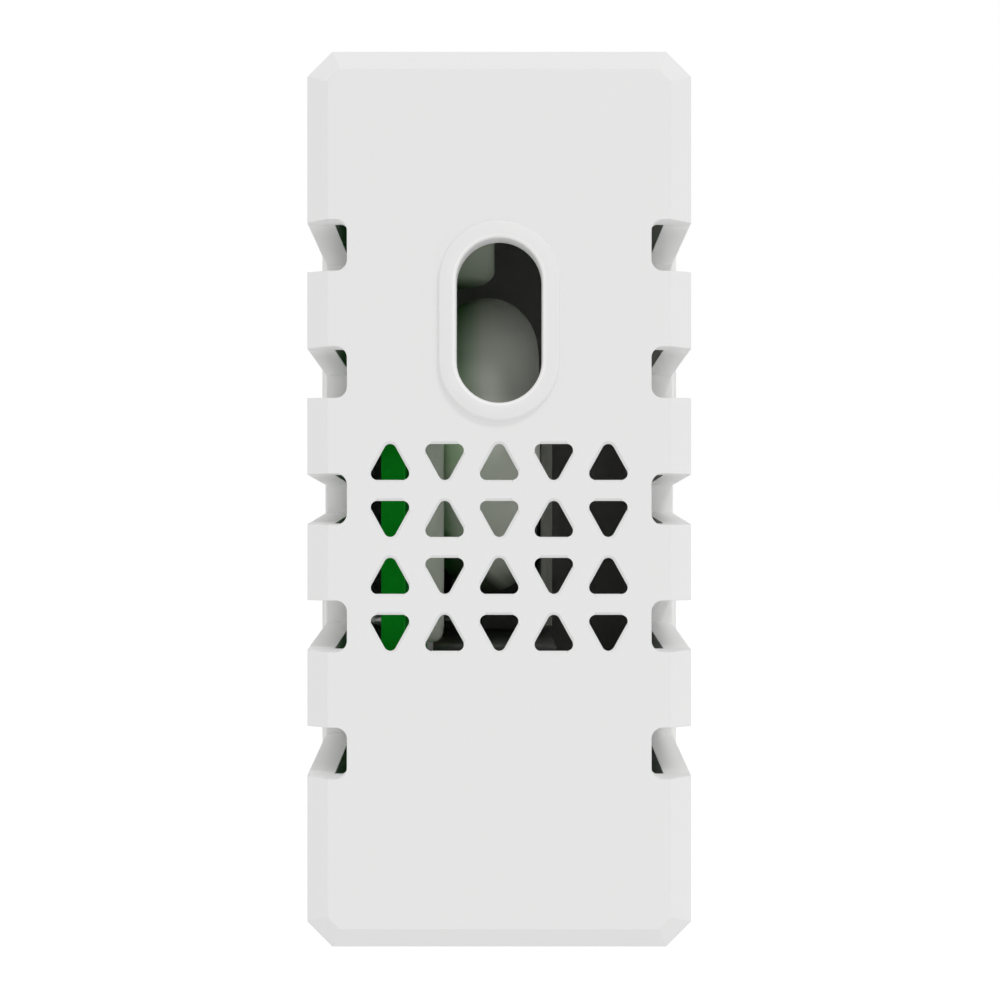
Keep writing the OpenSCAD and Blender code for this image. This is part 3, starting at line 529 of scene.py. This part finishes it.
edges = {
    "merge": 0.002 * mm,
    "flat": 0.6,  # degrees, below which two faces are one
    "sharp": 28.0,  # degrees, above which an edge is rounded
    "casing": 0.12 * mm,  # width of the bevels of the casing
    "small": 0.06 * mm,  # and of the tags and the sheet
    "segments": 2,
    "outside": 0.3 * mm,  # an edge within this of the housing's box isn't one of its hollow
}
vents = {
    "across": 5,
    "down": 4,
    "pitch": (2.92 * mm, 3.05 * mm),
    "size": (2.06 * mm, 1.93 * mm),
    "radius": 0.34 * mm,
    "reach": (0.5, 1.1),  # shares of the radius between which a point is part of a vent's outline
    "height": -2.58 * mm,  # of the middle of the field, from the middle of the casing
    "plate": 1.45 * mm,
    "level": 0.01 * mm,  # how far a point may lie from the plate's inner side
    "flare": 0.14 * mm,  # how far each wall leans back from the mouth to the inner side
}


def nearestOn(corners, point):
    # the point of a triangle's outline that is nearest to a given one
    feet = []
    for a, b in zip(corners, corners[1:] + corners[:1]):
        share = (point - a).dot(b - a) / (b - a).length_squared
        feet.append(a + (b - a) * max(0.0, min(1.0, share)))
    return min(feet, key=lambda foot: (foot - point).length)


def flareVents(work, p):
    # Leans the walls of the vents back, so that only their crisp mouths are seen from behind.
    # Each vent's outline runs at the corner radius round a triangle.
    inner = [v for v in work.verts if abs(v.co.y - backFace - p["plate"]) < p["level"]]
    half = p["size"][0] / 2 - p["radius"], p["size"][1] / 2 - p["radius"]
    near, far = (share * p["radius"] for share in p["reach"])
    for col in range(p["across"]):
        for row in range(p["down"]):
            middle = Vector(((col - (p["across"] - 1) / 2) * p["pitch"][0],
                             midHeight + p["height"] - (row - (p["down"] - 1) / 2) * p["pitch"][1]))
            up = 1 if (row + col) % 2 == 0 else -1
            corners = [middle + Vector((x * half[0], z * up * half[1]))
                       for x, z in ((-1, -1), (1, -1), (0, 1))]
            for vert in inner:
                point = Vector((vert.co.x, vert.co.z))
                away = point - nearestOn(corners, point)
                if near < away.length < far:
                    away = away.normalized() * p["flare"]
                    vert.co += Vector((away.x, 0, away.y))


def showPiece(name, mesh, node):
    # A finished piece stands where its mesh says and takes the place of a CAD node
    piece = bpy.data.objects.new(name, mesh)
    scene.collection.objects.link(piece)
    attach(piece, "root")
    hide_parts(node)
    return piece


def roundedCopy(node, name, material, width, chosen=None):
    # Copy of a CAD piece, its triangles joined into faces. Each sharp edge that chosen(middle) accepts
    # is rounded by a bevel of this width.
    mesh = nodes[node].data.copy()
    work = bmesh.new()
    work.from_mesh(mesh)
    bmesh.ops.remove_doubles(work, verts=work.verts, dist=edges["merge"])
    bmesh.ops.dissolve_limit(work, angle_limit=math.radians(edges["flat"]), use_dissolve_boundaries=False,
                             verts=work.verts, edges=work.edges)
    if node == "rear_cover":
        flareVents(work, vents)
    weight = work.edges.layers.float.new("bevel_weight_edge")
    for edge in work.edges:
        edge.smooth = True
        if len(edge.link_faces) == 2 and edge.calc_face_angle() > math.radians(edges["sharp"]):
            edge.smooth = False
            middle = (edge.verts[0].co + edge.verts[1].co) / 2
            if edge.is_convex and chosen and chosen(middle):
                edge[weight] = 1.0
    for face in work.faces:
        face.smooth = True
    work.to_mesh(mesh)
    work.free()
    mesh.materials.clear()
    mesh.materials.append(materials[material])
    piece = showPiece(name, mesh, node)
    if chosen:
        bevel = piece.modifiers.new("roundedEdges", "BEVEL")
        bevel.limit_method = "WEIGHT"
        bevel.width = width
        bevel.segments = edges["segments"]
        bevel.use_clamp_overlap = False
        bevel.harden_normals = True
        bevel.miter_outer = "MITER_ARC"


def onSkirt(middle):
    # the outside of the housing, not the hollow inside it
    return (abs(middle.x) > rimHigh.x - edges["outside"]
            or abs(middle.z - midHeight) > rimHigh.z - midHeight - edges["outside"])


def anywhere(middle):
    return True


casing = {
    "rear_cover": ("rearCoverShell", "cover", "cover_plastic", None),
    "front_housing": ("frontHousingShell", "housing", "housing_plastic", onSkirt),
    "face_plate": ("facePlateShell", "face", "face_plastic", None),
}
for node, (name, material, slot, chosen) in casing.items():
    roundedCopy(node, name, material, edges["casing"], chosen)
print("casing made")


def unit(vector):
    return vector / np.linalg.norm(vector)


directions = {"x": np.array([1.0, 0, 0]), "y": np.array([0, 1.0, 0]), "z": np.array([0, 0, 1.0])}
tip = 0.01  # mm, the radius at which a turned form closes on its axis
weld = 0.0005 * mm  # points closer than this are one


def roundedPath(corners, bend, steps=7):
    # Path through right-angled corners, each a quarter circle of radius bend:
    # point = centre - bend * (ahead * cos a + back * sin a)
    path = [corners[0]]
    for before, corner, after in zip(corners, corners[1:], corners[2:]):
        back, ahead = unit(before - corner), unit(after - corner)
        centre = corner + bend * (back + ahead)
        for a in np.linspace(0, np.pi / 2, steps):
            path.append(centre - bend * (ahead * np.cos(a) + back * np.sin(a)))
    path.append(corners[-1])
    return np.array(path)


class Shape:
    # Gathers the closed surfaces of one piece, each with its own material
    def __init__(self):
        self.points, self.faces, self.kinds, self.count = [], [], [], 0

    def take(self, points, faces, kind):
        self.points.append(points)
        self.faces += [[self.count + i for i in face] for face in faces]
        self.kinds += [kind] * len(faces)
        self.count += len(points)

    def net(self, rings, kind, loop=False):
        # rings[i, j]: point j of ring i. Its two ends are capped, or joined to each other for a loop.
        rows, columns = rings.shape[:2]
        index = np.arange(rows * columns).reshape(rows, columns)
        if loop:
            index = np.vstack([index, index[:1]])
        turned = np.roll(index, -1, axis=1)
        faces = np.stack([index[:-1], turned[:-1], turned[1:], index[1:]], axis=-1).reshape(-1, 4).tolist()
        if not loop:
            faces += [index[0][::-1].tolist(), index[-1].tolist()]
        self.take(rings.reshape(-1, 3), faces, kind)

    def lathe(self, centre, axis, profile, kind, count=48, loop=False, wave=None):
        # Turned form: point = centre + axis * along + radius * (side * cos u + up * sin u)
        axis = directions[axis]
        side = directions["z"] if axis[2] == 0 else directions["x"]
        up = np.cross(axis, side)
        along, radius = np.array(profile).T * mm
        u = np.linspace(0, 2 * np.pi, count, endpoint=False)
        around = side * np.cos(u)[:, None] + up * np.sin(u)[:, None]
        reachOut = radius[:, None] * np.ones_like(u)
        if wave:
            offAxis = radius[:, None] > 0.1 * mm
            reachOut = reachOut - wave(along[:, None], u[None, :]) * mm * offAxis
        self.net(centre + axis * along[:, None, None] + reachOut[..., None] * around, kind, loop)

    def sweep(self, path, radii, side, kind, count=12):
        # Round rod along a flat path whose plane's normal is side:
        # point = middle + radius * (side * cos u + across * sin u)
        tangents = np.gradient(path, axis=0)
        across = np.cross(tangents / np.linalg.norm(tangents, axis=1)[:, None], side)
        u = np.linspace(0, 2 * np.pi, count, endpoint=False)
        radii = np.broadcast_to(np.asarray(radii, dtype=float) * mm, len(path))[:, None, None]
        rings = side * np.cos(u)[None, :, None] + across[:, None] * np.sin(u)[None, :, None]
        self.net(path[:, None] + radii * rings, kind)

    def box(self, low, high, radius, kind, steps=4):
        # Box with rounded edges: point = nearest point of the core + radius * direction away from the
        # core, on a net that is finer near the edges
        half = (high - low) / 2
        core = half - radius * mm
        bend = np.sin(np.linspace(0, np.pi / 2, steps)) * radius * mm
        lines = [np.concatenate([-reach - bend[::-1], reach + bend]) for reach in core]
        for axis in range(3):
            others = [k for k in range(3) if k != axis]
            a, b = np.meshgrid(*(lines[k] for k in others), indexing="ij")
            for sign in (-1, 1):
                flat = np.zeros(a.shape + (3,))
                flat[..., axis] = sign * half[axis]
                flat[..., others[0]], flat[..., others[1]] = a, b
                inner = np.clip(flat, -core, core)
                away = flat - inner
                away = away / np.linalg.norm(away, axis=-1)[..., None] * radius * mm
                points = (low + high) / 2 + inner + away
                rows, columns = a.shape
                index = np.arange(rows * columns).reshape(rows, columns)
                faces = np.stack([index[:-1, :-1], index[1:, :-1], index[1:, 1:], index[:-1, 1:]], axis=-1)
                self.take(points.reshape(-1, 3), faces.reshape(-1, 4).tolist(), kind)

    def copyOf(self, node, kind):
        mesh = nodes[node].data
        points = np.empty(len(mesh.vertices) * 3)
        mesh.vertices.foreach_get("co", points)
        self.take(points.reshape(-1, 3), [list(face.vertices) for face in mesh.polygons], kind)

    def build(self, name, node, names, smooth=35.0):
        # One object from all the surfaces. smooth is the angle below which an edge is shaded smooth.
        mesh = bpy.data.meshes.new(name)
        mesh.from_pydata(np.concatenate(self.points).tolist(), [], self.faces)
        for material in names:
            mesh.materials.append(materials[material])
        mesh.polygons.foreach_set("material_index", self.kinds)
        work = bmesh.new()
        work.from_mesh(mesh)
        bmesh.ops.remove_doubles(work, verts=work.verts, dist=weld)
        bmesh.ops.recalc_face_normals(work, faces=work.faces)
        for face in work.faces:
            face.smooth = True
        work.to_mesh(mesh)
        work.free()
        mesh.set_sharp_from_angle(angle=math.radians(smooth))
        showPiece(name, mesh, node)


board = {
    "side": -5.24,  # the component side, across
    "back": -6.54,
    "tail": -7.54,  # where the leads end, under the solder
    "thin": 0.5,  # thickness of the thin leads
    "bend": 0.8,
    "pad": 0.5,  # how far the ring of tin reaches from a lead
    "clear": 0.1,  # between a lead and its ring
    "slope": 0.02,  # how far the rim of a ring leans in
    "copper": 0.03,
    "track": 0.9,  # height of a track as a share of a ring's, so that the ring stays on top
    "sunk": 0.02,  # how far rings and tracks go into the board
}


def addLead(shape, start, hole, dia, kind):
    # Lead from a body, level to over its hole and then down through the board
    corners = [place(*start), place(start[0], *hole), place(board["tail"], *hole)]
    run = unit(corners[1] - corners[0])
    path = roundedPath(corners, board["bend"] * mm)
    shape.sweep(path, dia / 2, np.cross(run, directions["x"]), kind)


def addLeads(shape, p, kind):
    # A lead at each end of a body: it starts a little inside and turns to the board after a straight run
    x, depth, height = p["centre"]
    for sign in (-1, 1):
        step, span = sign * (p["length"] / 2 - p["inside"]), sign * (p["length"] / 2 + p["run"])
        if p["axis"] == "z":
            start, hole = (x, depth, height + step), (depth, height + span)
        else:
            start, hole = (x, depth + step, height), (depth + span, height)
        addLead(shape, start, hole, p["lead"], kind)


def roundEnds(profile, half, radius, steps=5):
    # adds quarter rounds where a turned profile meets its two end faces, which are as high as each other
    quarter = [(half - radius * (1 - np.cos(t)), profile[0][1] - radius * (1 - np.sin(t)))
               for t in np.linspace(0, np.pi / 2, steps)]
    first = [(-along, r) for along, r in quarter]
    return [(-half, tip)] + first + profile + quarter[::-1] + [(half, tip)]


def varistor(p):
    # Coated disc: along = half * sin t and radius = full - rim * (1 - cos t), half an ellipse round the
    # rim. Broad waves thin the coat a little. It runs a short way down each lead, where it tapers off.
    shape = Shape()
    a = np.linspace(-np.pi / 2, np.pi / 2, 33)
    rim = [(p["half"] * np.sin(t), p["radius"] - p["rim"] * (1 - np.cos(t))) for t in a]
    flat = np.linspace(2 * tip, p["radius"] - p["rim"] - 0.1, 8)
    profile = [(-p["half"], r) for r in flat] + rim + [(p["half"], r) for r in flat[::-1]]

    def wave(along, u):
        broad = 0.5 + 0.25 * np.sin(2 * u + 0.7) + 0.25 * np.sin(5 * u + 2.1 + along / mm * 0.6)
        return p["wave"] * broad

    x, depth, height = p["centre"]
    shape.lathe(place(x, depth, height), "x", profile, 0, 128, wave=wave)
    for hole in p["holes"]:
        out = math.sqrt((p["radius"] - p["rim"] / 4) ** 2 - (hole[1] - height) ** 2)
        start = (x, depth + out, hole[1])
        addLead(shape, start, hole, p["lead"], 1)
        edge = math.sqrt(p["radius"] ** 2 - (hole[1] - height) ** 2) - out
        t = np.linspace(0, 1, 9)
        path = place(*start) + directions["y"] * ((edge + p["run"]) * t * mm)[:, None]
        shape.sweep(path, p["lead"] / 2 + p["coat"] * (1 - t) ** 1.6 + p["film"], directions["x"], 0)
    shape.build(p["name"], p["node"], [p["material"], "lead"], smooth=50.0)


varistors = [
    {"name": "largeDisc", "node": "varistor_line_neutral", "centre": largeDisc["centre"], "radius": 9.0,
     "rim": 3.3, "half": 3.1, "holes": [(23.0, 7.05), (23.0, -0.45)], "lead": 0.8, "coat": 0.5,
     "film": 0.015, "run": 0.5, "wave": 0.03, "material": "coating"},
    {"name": "smallDisc", "node": "varistor_line_earth", "centre": smallDisc["centre"], "radius": 4.8,
     "rim": 1.05, "half": 2.15, "holes": [(16.0, 19.85), (16.0, 14.85)], "lead": 0.5, "coat": 0.35,
     "film": 0.015, "run": 0.4, "wave": 0.02, "material": "paleCoating"},
]
for settings in varistors:
    varistor(settings)
print("varistors made")


def resistorProfile(p):
    # Waisted body: radius = full * (0.88 + 0.12 * swell), where swell is a smooth step from the middle
    # to the end caps
    t = np.linspace(-1, 1, 41)[3:-3]
    swell = np.clip((np.abs(t) - 0.5) / 0.2, 0, 1)
    swell = swell * swell * (3 - 2 * swell)
    half, full = p["length"] / 2, p["dia"] / 2
    return roundEnds([(s * half, full * (0.88 + 0.12 * w)) for s, w in zip(t, swell)], half, 0.4)


def diodeProfile(p):
    # Straight moulded body with small edge rounds and a slight parting groove, a bell curve, in the middle
    t = np.linspace(-1, 1, 31)[2:-2]
    half, full = p["length"] / 2, p["dia"] / 2
    return roundEnds([(s * half, full - 0.02 * math.exp(-(s / 0.03) ** 2)) for s in t], half, 0.18)


def glassProfile(p):
    # Drawn glass: an even tube whose ends neck in on the leads, by 0.45 * share along to the power 8
    half, full = p["length"] / 2, p["dia"] / 2
    wall = [(s * half, full * (1 - 0.45 * abs(s) ** 8)) for s in np.linspace(-1, 1, 25)]
    return [(-half, tip)] + wall + [(half, tip)]


bandColors = {
    "brown": (0.10, 0.035, 0.012), "black": (0.008, 0.008, 0.008), "orange": (0.75, 0.20, 0.02),
    "green": (0.03, 0.24, 0.06), "red": (0.50, 0.02, 0.015), "gold": (0.42, 0.28, 0.07),
    "silver": (0.60, 0.60, 0.60),
}


def paintBands(p):
    # Each band is its centre along the body, counted from the body's middle, its half width and its colour
    for centre, half, name in p["bands"]:
        def band(n):
            along = measured(n, p["axis"].upper(), p["centre"])
            return useGroup(n, bandEdge, Along=along, Centre=centre, Half=half)["Mask"]

        recolor(materials[p["material"]], band, bandColors[name], "MIX")


def axialPiece(p):
    # Turned body with painted bands between two bent leads
    shape = Shape()
    shape.lathe(place(*p["centre"]), p["axis"], p["profile"](p), 0, 48)
    addLeads(shape, p, 1)
    paintBands(p)
    shape.build(p["name"], p["node"], [p["material"], "lead"])


axial = {"axis": "z", "run": 1.0, "lead": 0.5, "inside": 0.2}
diode = {**axial, "length": 3.8, "dia": 1.9}


def resistor(name, centre, length, dia, *code):
    # Settings of a resistor with four bands, three close together and one at the far end
    places = (-0.34, -0.16, 0.02, 0.30)
    bands = [(length * share, 0.055 * length, color) for share, color in zip(places, code)]
    return {**axial, "name": name + "Body", "node": name + "_resistor", "centre": centre, "length": length,
            "dia": dia, "profile": resistorProfile, "material": name, "slot": "resistor_coating",
            "bands": bands}


axials = [
    resistor("dropper", (-3.99, 18.2, 15.75), 6.3, 2.3, "orange", "orange", "orange", "gold"),
    resistor("series", (-3.99, 4.7, 11.9), 6.3, 2.3, "brown", "black", "red", "gold"),
    resistor("bleed", (-4.24, 5.8, -17.0), 4.1, 1.8, "brown", "black", "green", "gold"),
    {**diode, "name": "rectifierBody", "node": "rectifier_diode", "centre": (-4.19, 24.3, -4.5),
     "profile": diodeProfile, "material": "diode", "slot": "diode_case", "bands": [(1.25, 0.28, "silver")]},
    {**diode, "name": "clampBody", "node": "clamp_diode", "centre": (-4.19, 11.6, -7.1), "axis": "y",
     "profile": glassProfile, "material": "glass", "slot": "diode_glass", "bands": [(1.2, 0.25, "black")]},
]
for settings in axials:
    axialPiece(settings)
print("resistors and diodes made")


def thermalFuse(p):
    # Ceramic barrel with ripples from its mould, closed at each end by a full-shouldered dome of resin that
    # has sagged on to the lead: along = base + tall * sin t, radius = wide * root of cos t
    shape = Shape()
    centre = place(*p["centre"])
    radius, chamfer = p["dia"] / 2, p["chamfer"]
    barrel = p["length"] / 2 - radius
    straight = barrel - chamfer
    wall = [(s * straight, radius - p["ripple"] * (1 + math.cos(9 * s))) for s in np.linspace(-1, 1, 33)]
    first = [(-barrel, tip), (-barrel, radius - 0.05), (-straight, radius)]
    last = [(straight, radius), (barrel, radius - 0.05), (barrel, tip)]
    shape.lathe(centre, "z", first + wall + last, 0)
    base, tall, wide = barrel - p["overlap"], radius + p["overlap"], radius - p["step"]
    dome = [(base + tall * math.sin(t), wide * math.cos(t) ** 0.5 + 1.2 * tip)
            for t in np.linspace(0, np.pi / 2, 12)]
    for sign in (-1, 1):
        shape.lathe(centre, "z", [(sign * along, r) for along, r in [(base, tip)] + dome], 1)
    addLeads(shape, p, 2)
    shape.build("fuseBody", "thermal_fuse", ["fuse", "resin", "lead"])


thermalFuse({
    **axial,
    "centre": (-3.94, 4.2, -2.0),
    "length": 12.0,
    "dia": 1.7,
    "run": 2.0,
    "chamfer": 0.06,
    "ripple": 0.008,
    "overlap": 0.02,  # of a dome with the barrel
    "step": 0.04,  # how far a dome stands back from the barrel
})


def dischargeTube(p):
    # Ceramic ring between two metal cups: the ring bulges by the root of 1 - s to the power 6, with s from
    # -1 to 1. Each cup has a rolled rim, a recess and a welded lead.
    shape = Shape()
    centre = place(*p["centre"])
    half, radius = p["length"] / 2, p["dia"] / 2
    inner = half - p["cap"]
    ring = [(s * inner, radius - p["step"] + p["bulge"] * math.sqrt(max(0, 1 - s ** 6)))
            for s in np.linspace(-1, 1, 21)]
    shape.lathe(centre, "z", [(-inner, tip)] + ring + [(inner, tip)], 0)
    cup = [(inner - 0.02, tip), (inner - 0.02, radius - 0.12), (inner + 0.08, radius - 0.02),
           (inner + 0.2, radius), (half - 0.22, radius), (half - 0.07, radius - 0.06),
           (half, radius - 0.2), (half, radius - 0.45), (half - 0.12, radius - 0.6),
           (half - 0.12, 0.9), (half - 0.02, 0.62), (half - 0.01, tip)]
    for sign in (-1, 1):
        shape.lathe(centre, "z", [(sign * along, r) for along, r in cup], 1)
    addLeads(shape, p, 2)
    shape.build("tubeBody", "gas_discharge_tube", ["tube", "lead", "lead"])


dischargeTube({
    **axial,
    "centre": (-2.39, 22.3, -13.1),
    "length": 6.0,
    "dia": 5.5,
    "cap": 0.9,
    "step": 0.22,  # how far the ring stands back from the cups
    "bulge": 0.05,
    "run": 2.0,
    "lead": 0.8,
})


def filmCapacitor(p):
    # Moulded box on four small feet, with two pins
    shape = Shape()
    low, high = place(*p["low"]), place(*p["high"])
    shape.box(low + np.array([p["feet"] * mm, 0, 0]), high, p["edge"], 0)
    half, inset, sunk = p["foot"] / 2, p["inset"], p["sunk"]
    for depth in (p["low"][1] + inset, p["high"][1] - inset):
        for height in (p["low"][2] + inset, p["high"][2] - inset):
            footLow = place(p["low"][0], depth - half, height - half)
            footHigh = place(p["low"][0] + p["feet"] + sunk, depth + half, height + half)
            shape.box(footLow, footHigh, p["footEdge"], 0, 3)
    middle = (p["low"][1] + p["high"][1]) / 2
    for height in p["pins"]:
        reach = np.linspace(board["tail"], p["low"][0] + 1, 6)
        path = np.array([place(x, middle, height) for x in reach])
        shape.sweep(path, board["thin"] / 2, directions["y"], 1)
    shape.build("capacitorBox", "film_capacitor", ["capacitor", "lead"])


filmCapacitor({
    "low": (-5.14, 7.2, -20.4),
    "high": (3.36, 19.0, -8.4),
    "edge": 0.35,
    "feet": 0.25,  # how high the box stands on its feet
    "foot": 1.0,  # how wide each is
    "footEdge": 0.12,
    "inset": 0.9,  # of a foot's middle from the sides of the box
    "sunk": 0.4,  # how far a foot goes into the box
    "pins": (-9.4, -19.4),
})
print("fuse, tube and capacitor made")


def lightDiode(p):
    # Body that ends in half a ball, on a flange, with two leads that turn towards the board
    shape = Shape()
    radius, tall, soft = p["dia"] / 2, p["tall"], p["soft"]
    flange = radius + p["flange"]
    profile = [(0, tip), (0, flange - soft), (0.08, flange), (tall - soft, flange), (tall, flange - soft),
               (tall, radius + 0.03), (tall + 0.08, radius)]
    profile += [(p["length"] - radius + radius * math.sin(t), max(tip, radius * math.cos(t)))
                for t in np.linspace(0, np.pi / 2, 16)]
    shape.lathe(place(0, p["depth"], p["height"]), "y", profile, 0)
    for sign in (-1, 1):
        height = p["height"] + sign * p["pitch"] / 2
        corners = [place(0, p["depth"] + p["inside"], height), place(0, p["reach"], height),
                   place(board["tail"], p["reach"], height)]
        shape.sweep(roundedPath(corners, board["bend"] * mm), board["thin"] / 2, directions["z"], 1)
    shape.build("lightDiodeBody", "indicator_led", ["led", "lead"])


lightDiode({
    "depth": 22.3,
    "height": 10.4,
    "dia": 3.0,
    "length": 4.0,
    "flange": 0.4,  # how far it stands out
    "tall": 0.9,  # the flange, from the back of the body
    "soft": 0.1,
    "pitch": 2.54,  # between the leads
    "inside": 0.2,  # how far the leads go into the body
    "reach": 21.2,  # depth at which they turn
})


def lens(p):
    # Clear button with a flange behind the front wall. Its front is front - dome * s squared, with s from
    # the axis to the rim, and from rimStart on it falls by rimFall * (share of the way to the rim) squared.
    shape = Shape()
    radius, flange, soft = p["dia"] / 2, p["flange"] / 2, p["soft"]
    front = []
    for s in np.linspace(1, 0.02, 20):
        late = max(0, (s - p["rimStart"]) / (1 - p["rimStart"]))
        front.append((p["front"] - p["dome"] * s * s - p["rimFall"] * late ** 2, radius * s))
    rim = [(p["back"], tip), (p["back"], flange - soft), (p["back"] + soft, flange),
           (p["wall"] - soft, flange), (p["wall"], flange - soft), (p["wall"], radius)]
    shape.lathe(place(0, 0, p["height"]), "y", rim + front, 0)
    shape.build("lensButton", "indicator_lens", ["lens"])


lens({
    "height": 10.4,
    "dia": 3.0,
    "flange": 4.4,
    "soft": 0.08,
    "back": 26.8,
    "wall": 27.6,  # inner side of the front wall
    "front": 30.2,
    "dome": 0.16,
    "rimStart": 0.85,
    "rimFall": 0.14,
})

# Holes of the leads: forward from the back face, up from the middle, and how thick the lead is
holes = [
    (23.0, 7.05, 0.8), (23.0, -0.45, 0.8), (16.0, 19.85, 0.5), (16.0, 14.85, 0.5), (4.2, 6.0, 0.5),
    (4.2, -10.0, 0.5), (22.3, -8.1, 0.8), (22.3, -18.1, 0.8), (13.1, -9.4, 0.5), (13.1, -19.4, 0.5),
    (18.2, 19.9, 0.5), (18.2, 11.6, 0.5), (5.8, -13.95, 0.5), (5.8, -20.05, 0.5), (4.7, 16.05, 0.5),
    (4.7, 7.75, 0.5), (24.3, -1.6, 0.5), (24.3, -7.4, 0.5), (8.7, -7.1, 0.5), (14.5, -7.1, 0.5),
    (21.2, 11.67, 0.5), (21.2, 9.13, 0.5), (24.5, 0.9, 0.8), (24.5, 3.3, 0.8), (24.5, 5.7, 0.8),
]

# Tracks: the side they lie on (0 solder side, 1 component side), their width and their route
tracks = [
    (0, 1.6, [(4.2, 6.0), (21.9, 6.0), (23.0, 7.05)]),
    (0, 1.4, [(13.0, 6.0), (13.0, 11.85), (16.0, 14.85)]),
    (0, 1.0, [(4.2, 6.0), (4.7, 7.75)]),
    (0, 0.7, [(4.7, 16.05), (6.0, 17.35), (15.65, 17.35), (18.2, 19.9)]),
    (0, 0.7, [(18.2, 11.6), (21.2, 11.67)]),
    (1, 0.7, [(21.2, 9.13), (21.2, -1.8), (22.6, -3.2), (24.3, -1.6)]),
    (0, 0.8, [(24.5, 3.3), (23.0, 1.8), (23.0, -0.45)]),
    (0, 1.6, [(23.0, -0.45), (22.3, -1.15), (22.3, -8.1)]),
    (0, 1.6, [(4.2, -10.0), (12.5, -10.0), (13.1, -9.4)]),
    (0, 1.2, [(5.8, -20.05), (12.4, -20.05), (13.1, -19.4)]),
    (0, 0.8, [(5.8, -13.95), (5.8, -11.6), (4.2, -10.0)]),
    (1, 0.7, [(24.3, -7.4), (23.0, -6.1), (15.5, -6.1), (14.5, -7.1)]),
    (0, 0.8, [(8.7, -7.1), (8.7, -10.0)]),
    (0, 1.6, [(13.1, -19.4), (21.0, -19.4), (22.3, -18.1)]),
    (1, 2.4, [(24.5, 5.7), (19.5, 10.7), (19.5, 18.4)]),
]


def circuitBoard():
    # The CAD board with rings of tin and tracks, which stand up by the thickness of the copper.
    # A track is a row of flat bars with a round plate at every bend.
    shape = Shape()
    shape.copyOf("circuit_board", 0)
    sides = (board["back"], -1), (board["side"], 1)
    lift, sunk = board["copper"], board["sunk"]
    for depth, height, dia in holes:
        hole, ring = dia / 2 + board["clear"], dia / 2 + board["pad"]
        for x, sign in sides:
            section = [(-sunk * sign, hole), (lift * sign, hole), (lift * sign, ring - board["slope"]),
                       (0, ring), (-sunk * sign, ring)]
            shape.lathe(place(x, depth, height), "x", section, 2, 32, loop=True)
    for side, width, route in tracks:
        x, sign = sides[side]
        low, top = x - sunk * sign, x + board["track"] * lift * sign
        for start, end in zip(route, route[1:]):
            start, end = np.array(start), np.array(end)
            ahead = unit(end - start)
            aside = np.array([-ahead[1], ahead[0]]) * width / 2
            foot = [start + aside, start - aside, end - aside, end + aside]
            rings = np.array([[place(level, *corner) for corner in foot] for level in (low, top)])
            shape.net(rings, 1)
        for spot in route[1:-1]:
            shape.lathe(place(0, *spot), "x", [(low, width / 2), (top, width / 2)], 1, 24)
    shape.build("boardPlate", "circuit_board", ["board", "track", "pad"])


joint = {
    "foot": board["back"] - board["copper"] - 0.005,  # a hair off the ring of tin
    "tall": 0.8,
    "hair": 0.02,  # between the solder and the lead
    "tip": 0.04,  # thickness at the tip
    "spread": board["pad"] - 0.12,  # how much thicker the foot is than the tip
    "talls": (0.82, 0.98),  # each joint has a share of the height and a power of its own
    "powers": (1.7, 2.4),
}


def solderJoints(p):
    # Concave fillets: radius = inner + tip + spread * (1 - t) to a power near 2, with t from foot to tip
    shape = Shape()
    chance = np.random.default_rng(7)
    t = np.linspace(0, 1, 10)
    for depth, height, dia in holes:
        inner = dia / 2 + p["hair"]
        end = p["foot"] - p["tall"] * chance.uniform(*p["talls"])
        outer = inner + p["tip"] + p["spread"] * (1 - t) ** chance.uniform(*p["powers"])
        section = list(zip(np.linspace(p["foot"], end, 10), outer)) + [(end, inner), (p["foot"], inner)]
        shape.lathe(place(0, depth, height), "x", section, 0, 28, loop=True)
    shape.build("solderFillets", "solder_joints", ["solder"])


circuitBoard()
solderJoints(joint)

plain = {
    "line_tag": ("lineTag", "lead", "tinned_metal"),
    "neutral_tag": ("neutralTag", "lead", "tinned_metal"),
    "earth_tag": ("earthTag", "lead", "tinned_metal"),
    "insulation_sheet": ("insulationCard", "card", "insulation_card"),
}
for node, (name, material, slot) in plain.items():
    roundedCopy(node, name, material, edges["small"], anywhere)
print("board, solder, tags and sheet made")


def buildFloor(p):
    side = p["floorSide"] / 2
    mesh = bpy.data.meshes.new("paleFloor")
    low = rimLow.z
    mesh.from_pydata([(-side, -side, low), (side, -side, low), (side, side, low), (-side, side, low)],
                     [], [(0, 1, 2, 3)])
    material, n, shader = newMaterial("paleFloor")
    seen = n.add("ShaderNodeLightPath").outputs["Is Camera Ray"]
    glow = n.spread(seen, 0, 1, p["floorGlow"], p["floorSeen"])
    n.put(shader, Base_Color=(*p["floorColor"], 1), Roughness=p["floorRoughness"],
          Emission_Color=(1, 1, 1, 1), Emission_Strength=glow)
    mesh.materials.append(material)
    floor = bpy.data.objects.new("paleFloor", mesh)
    scene.collection.objects.link(floor)


buildFloor(picture)
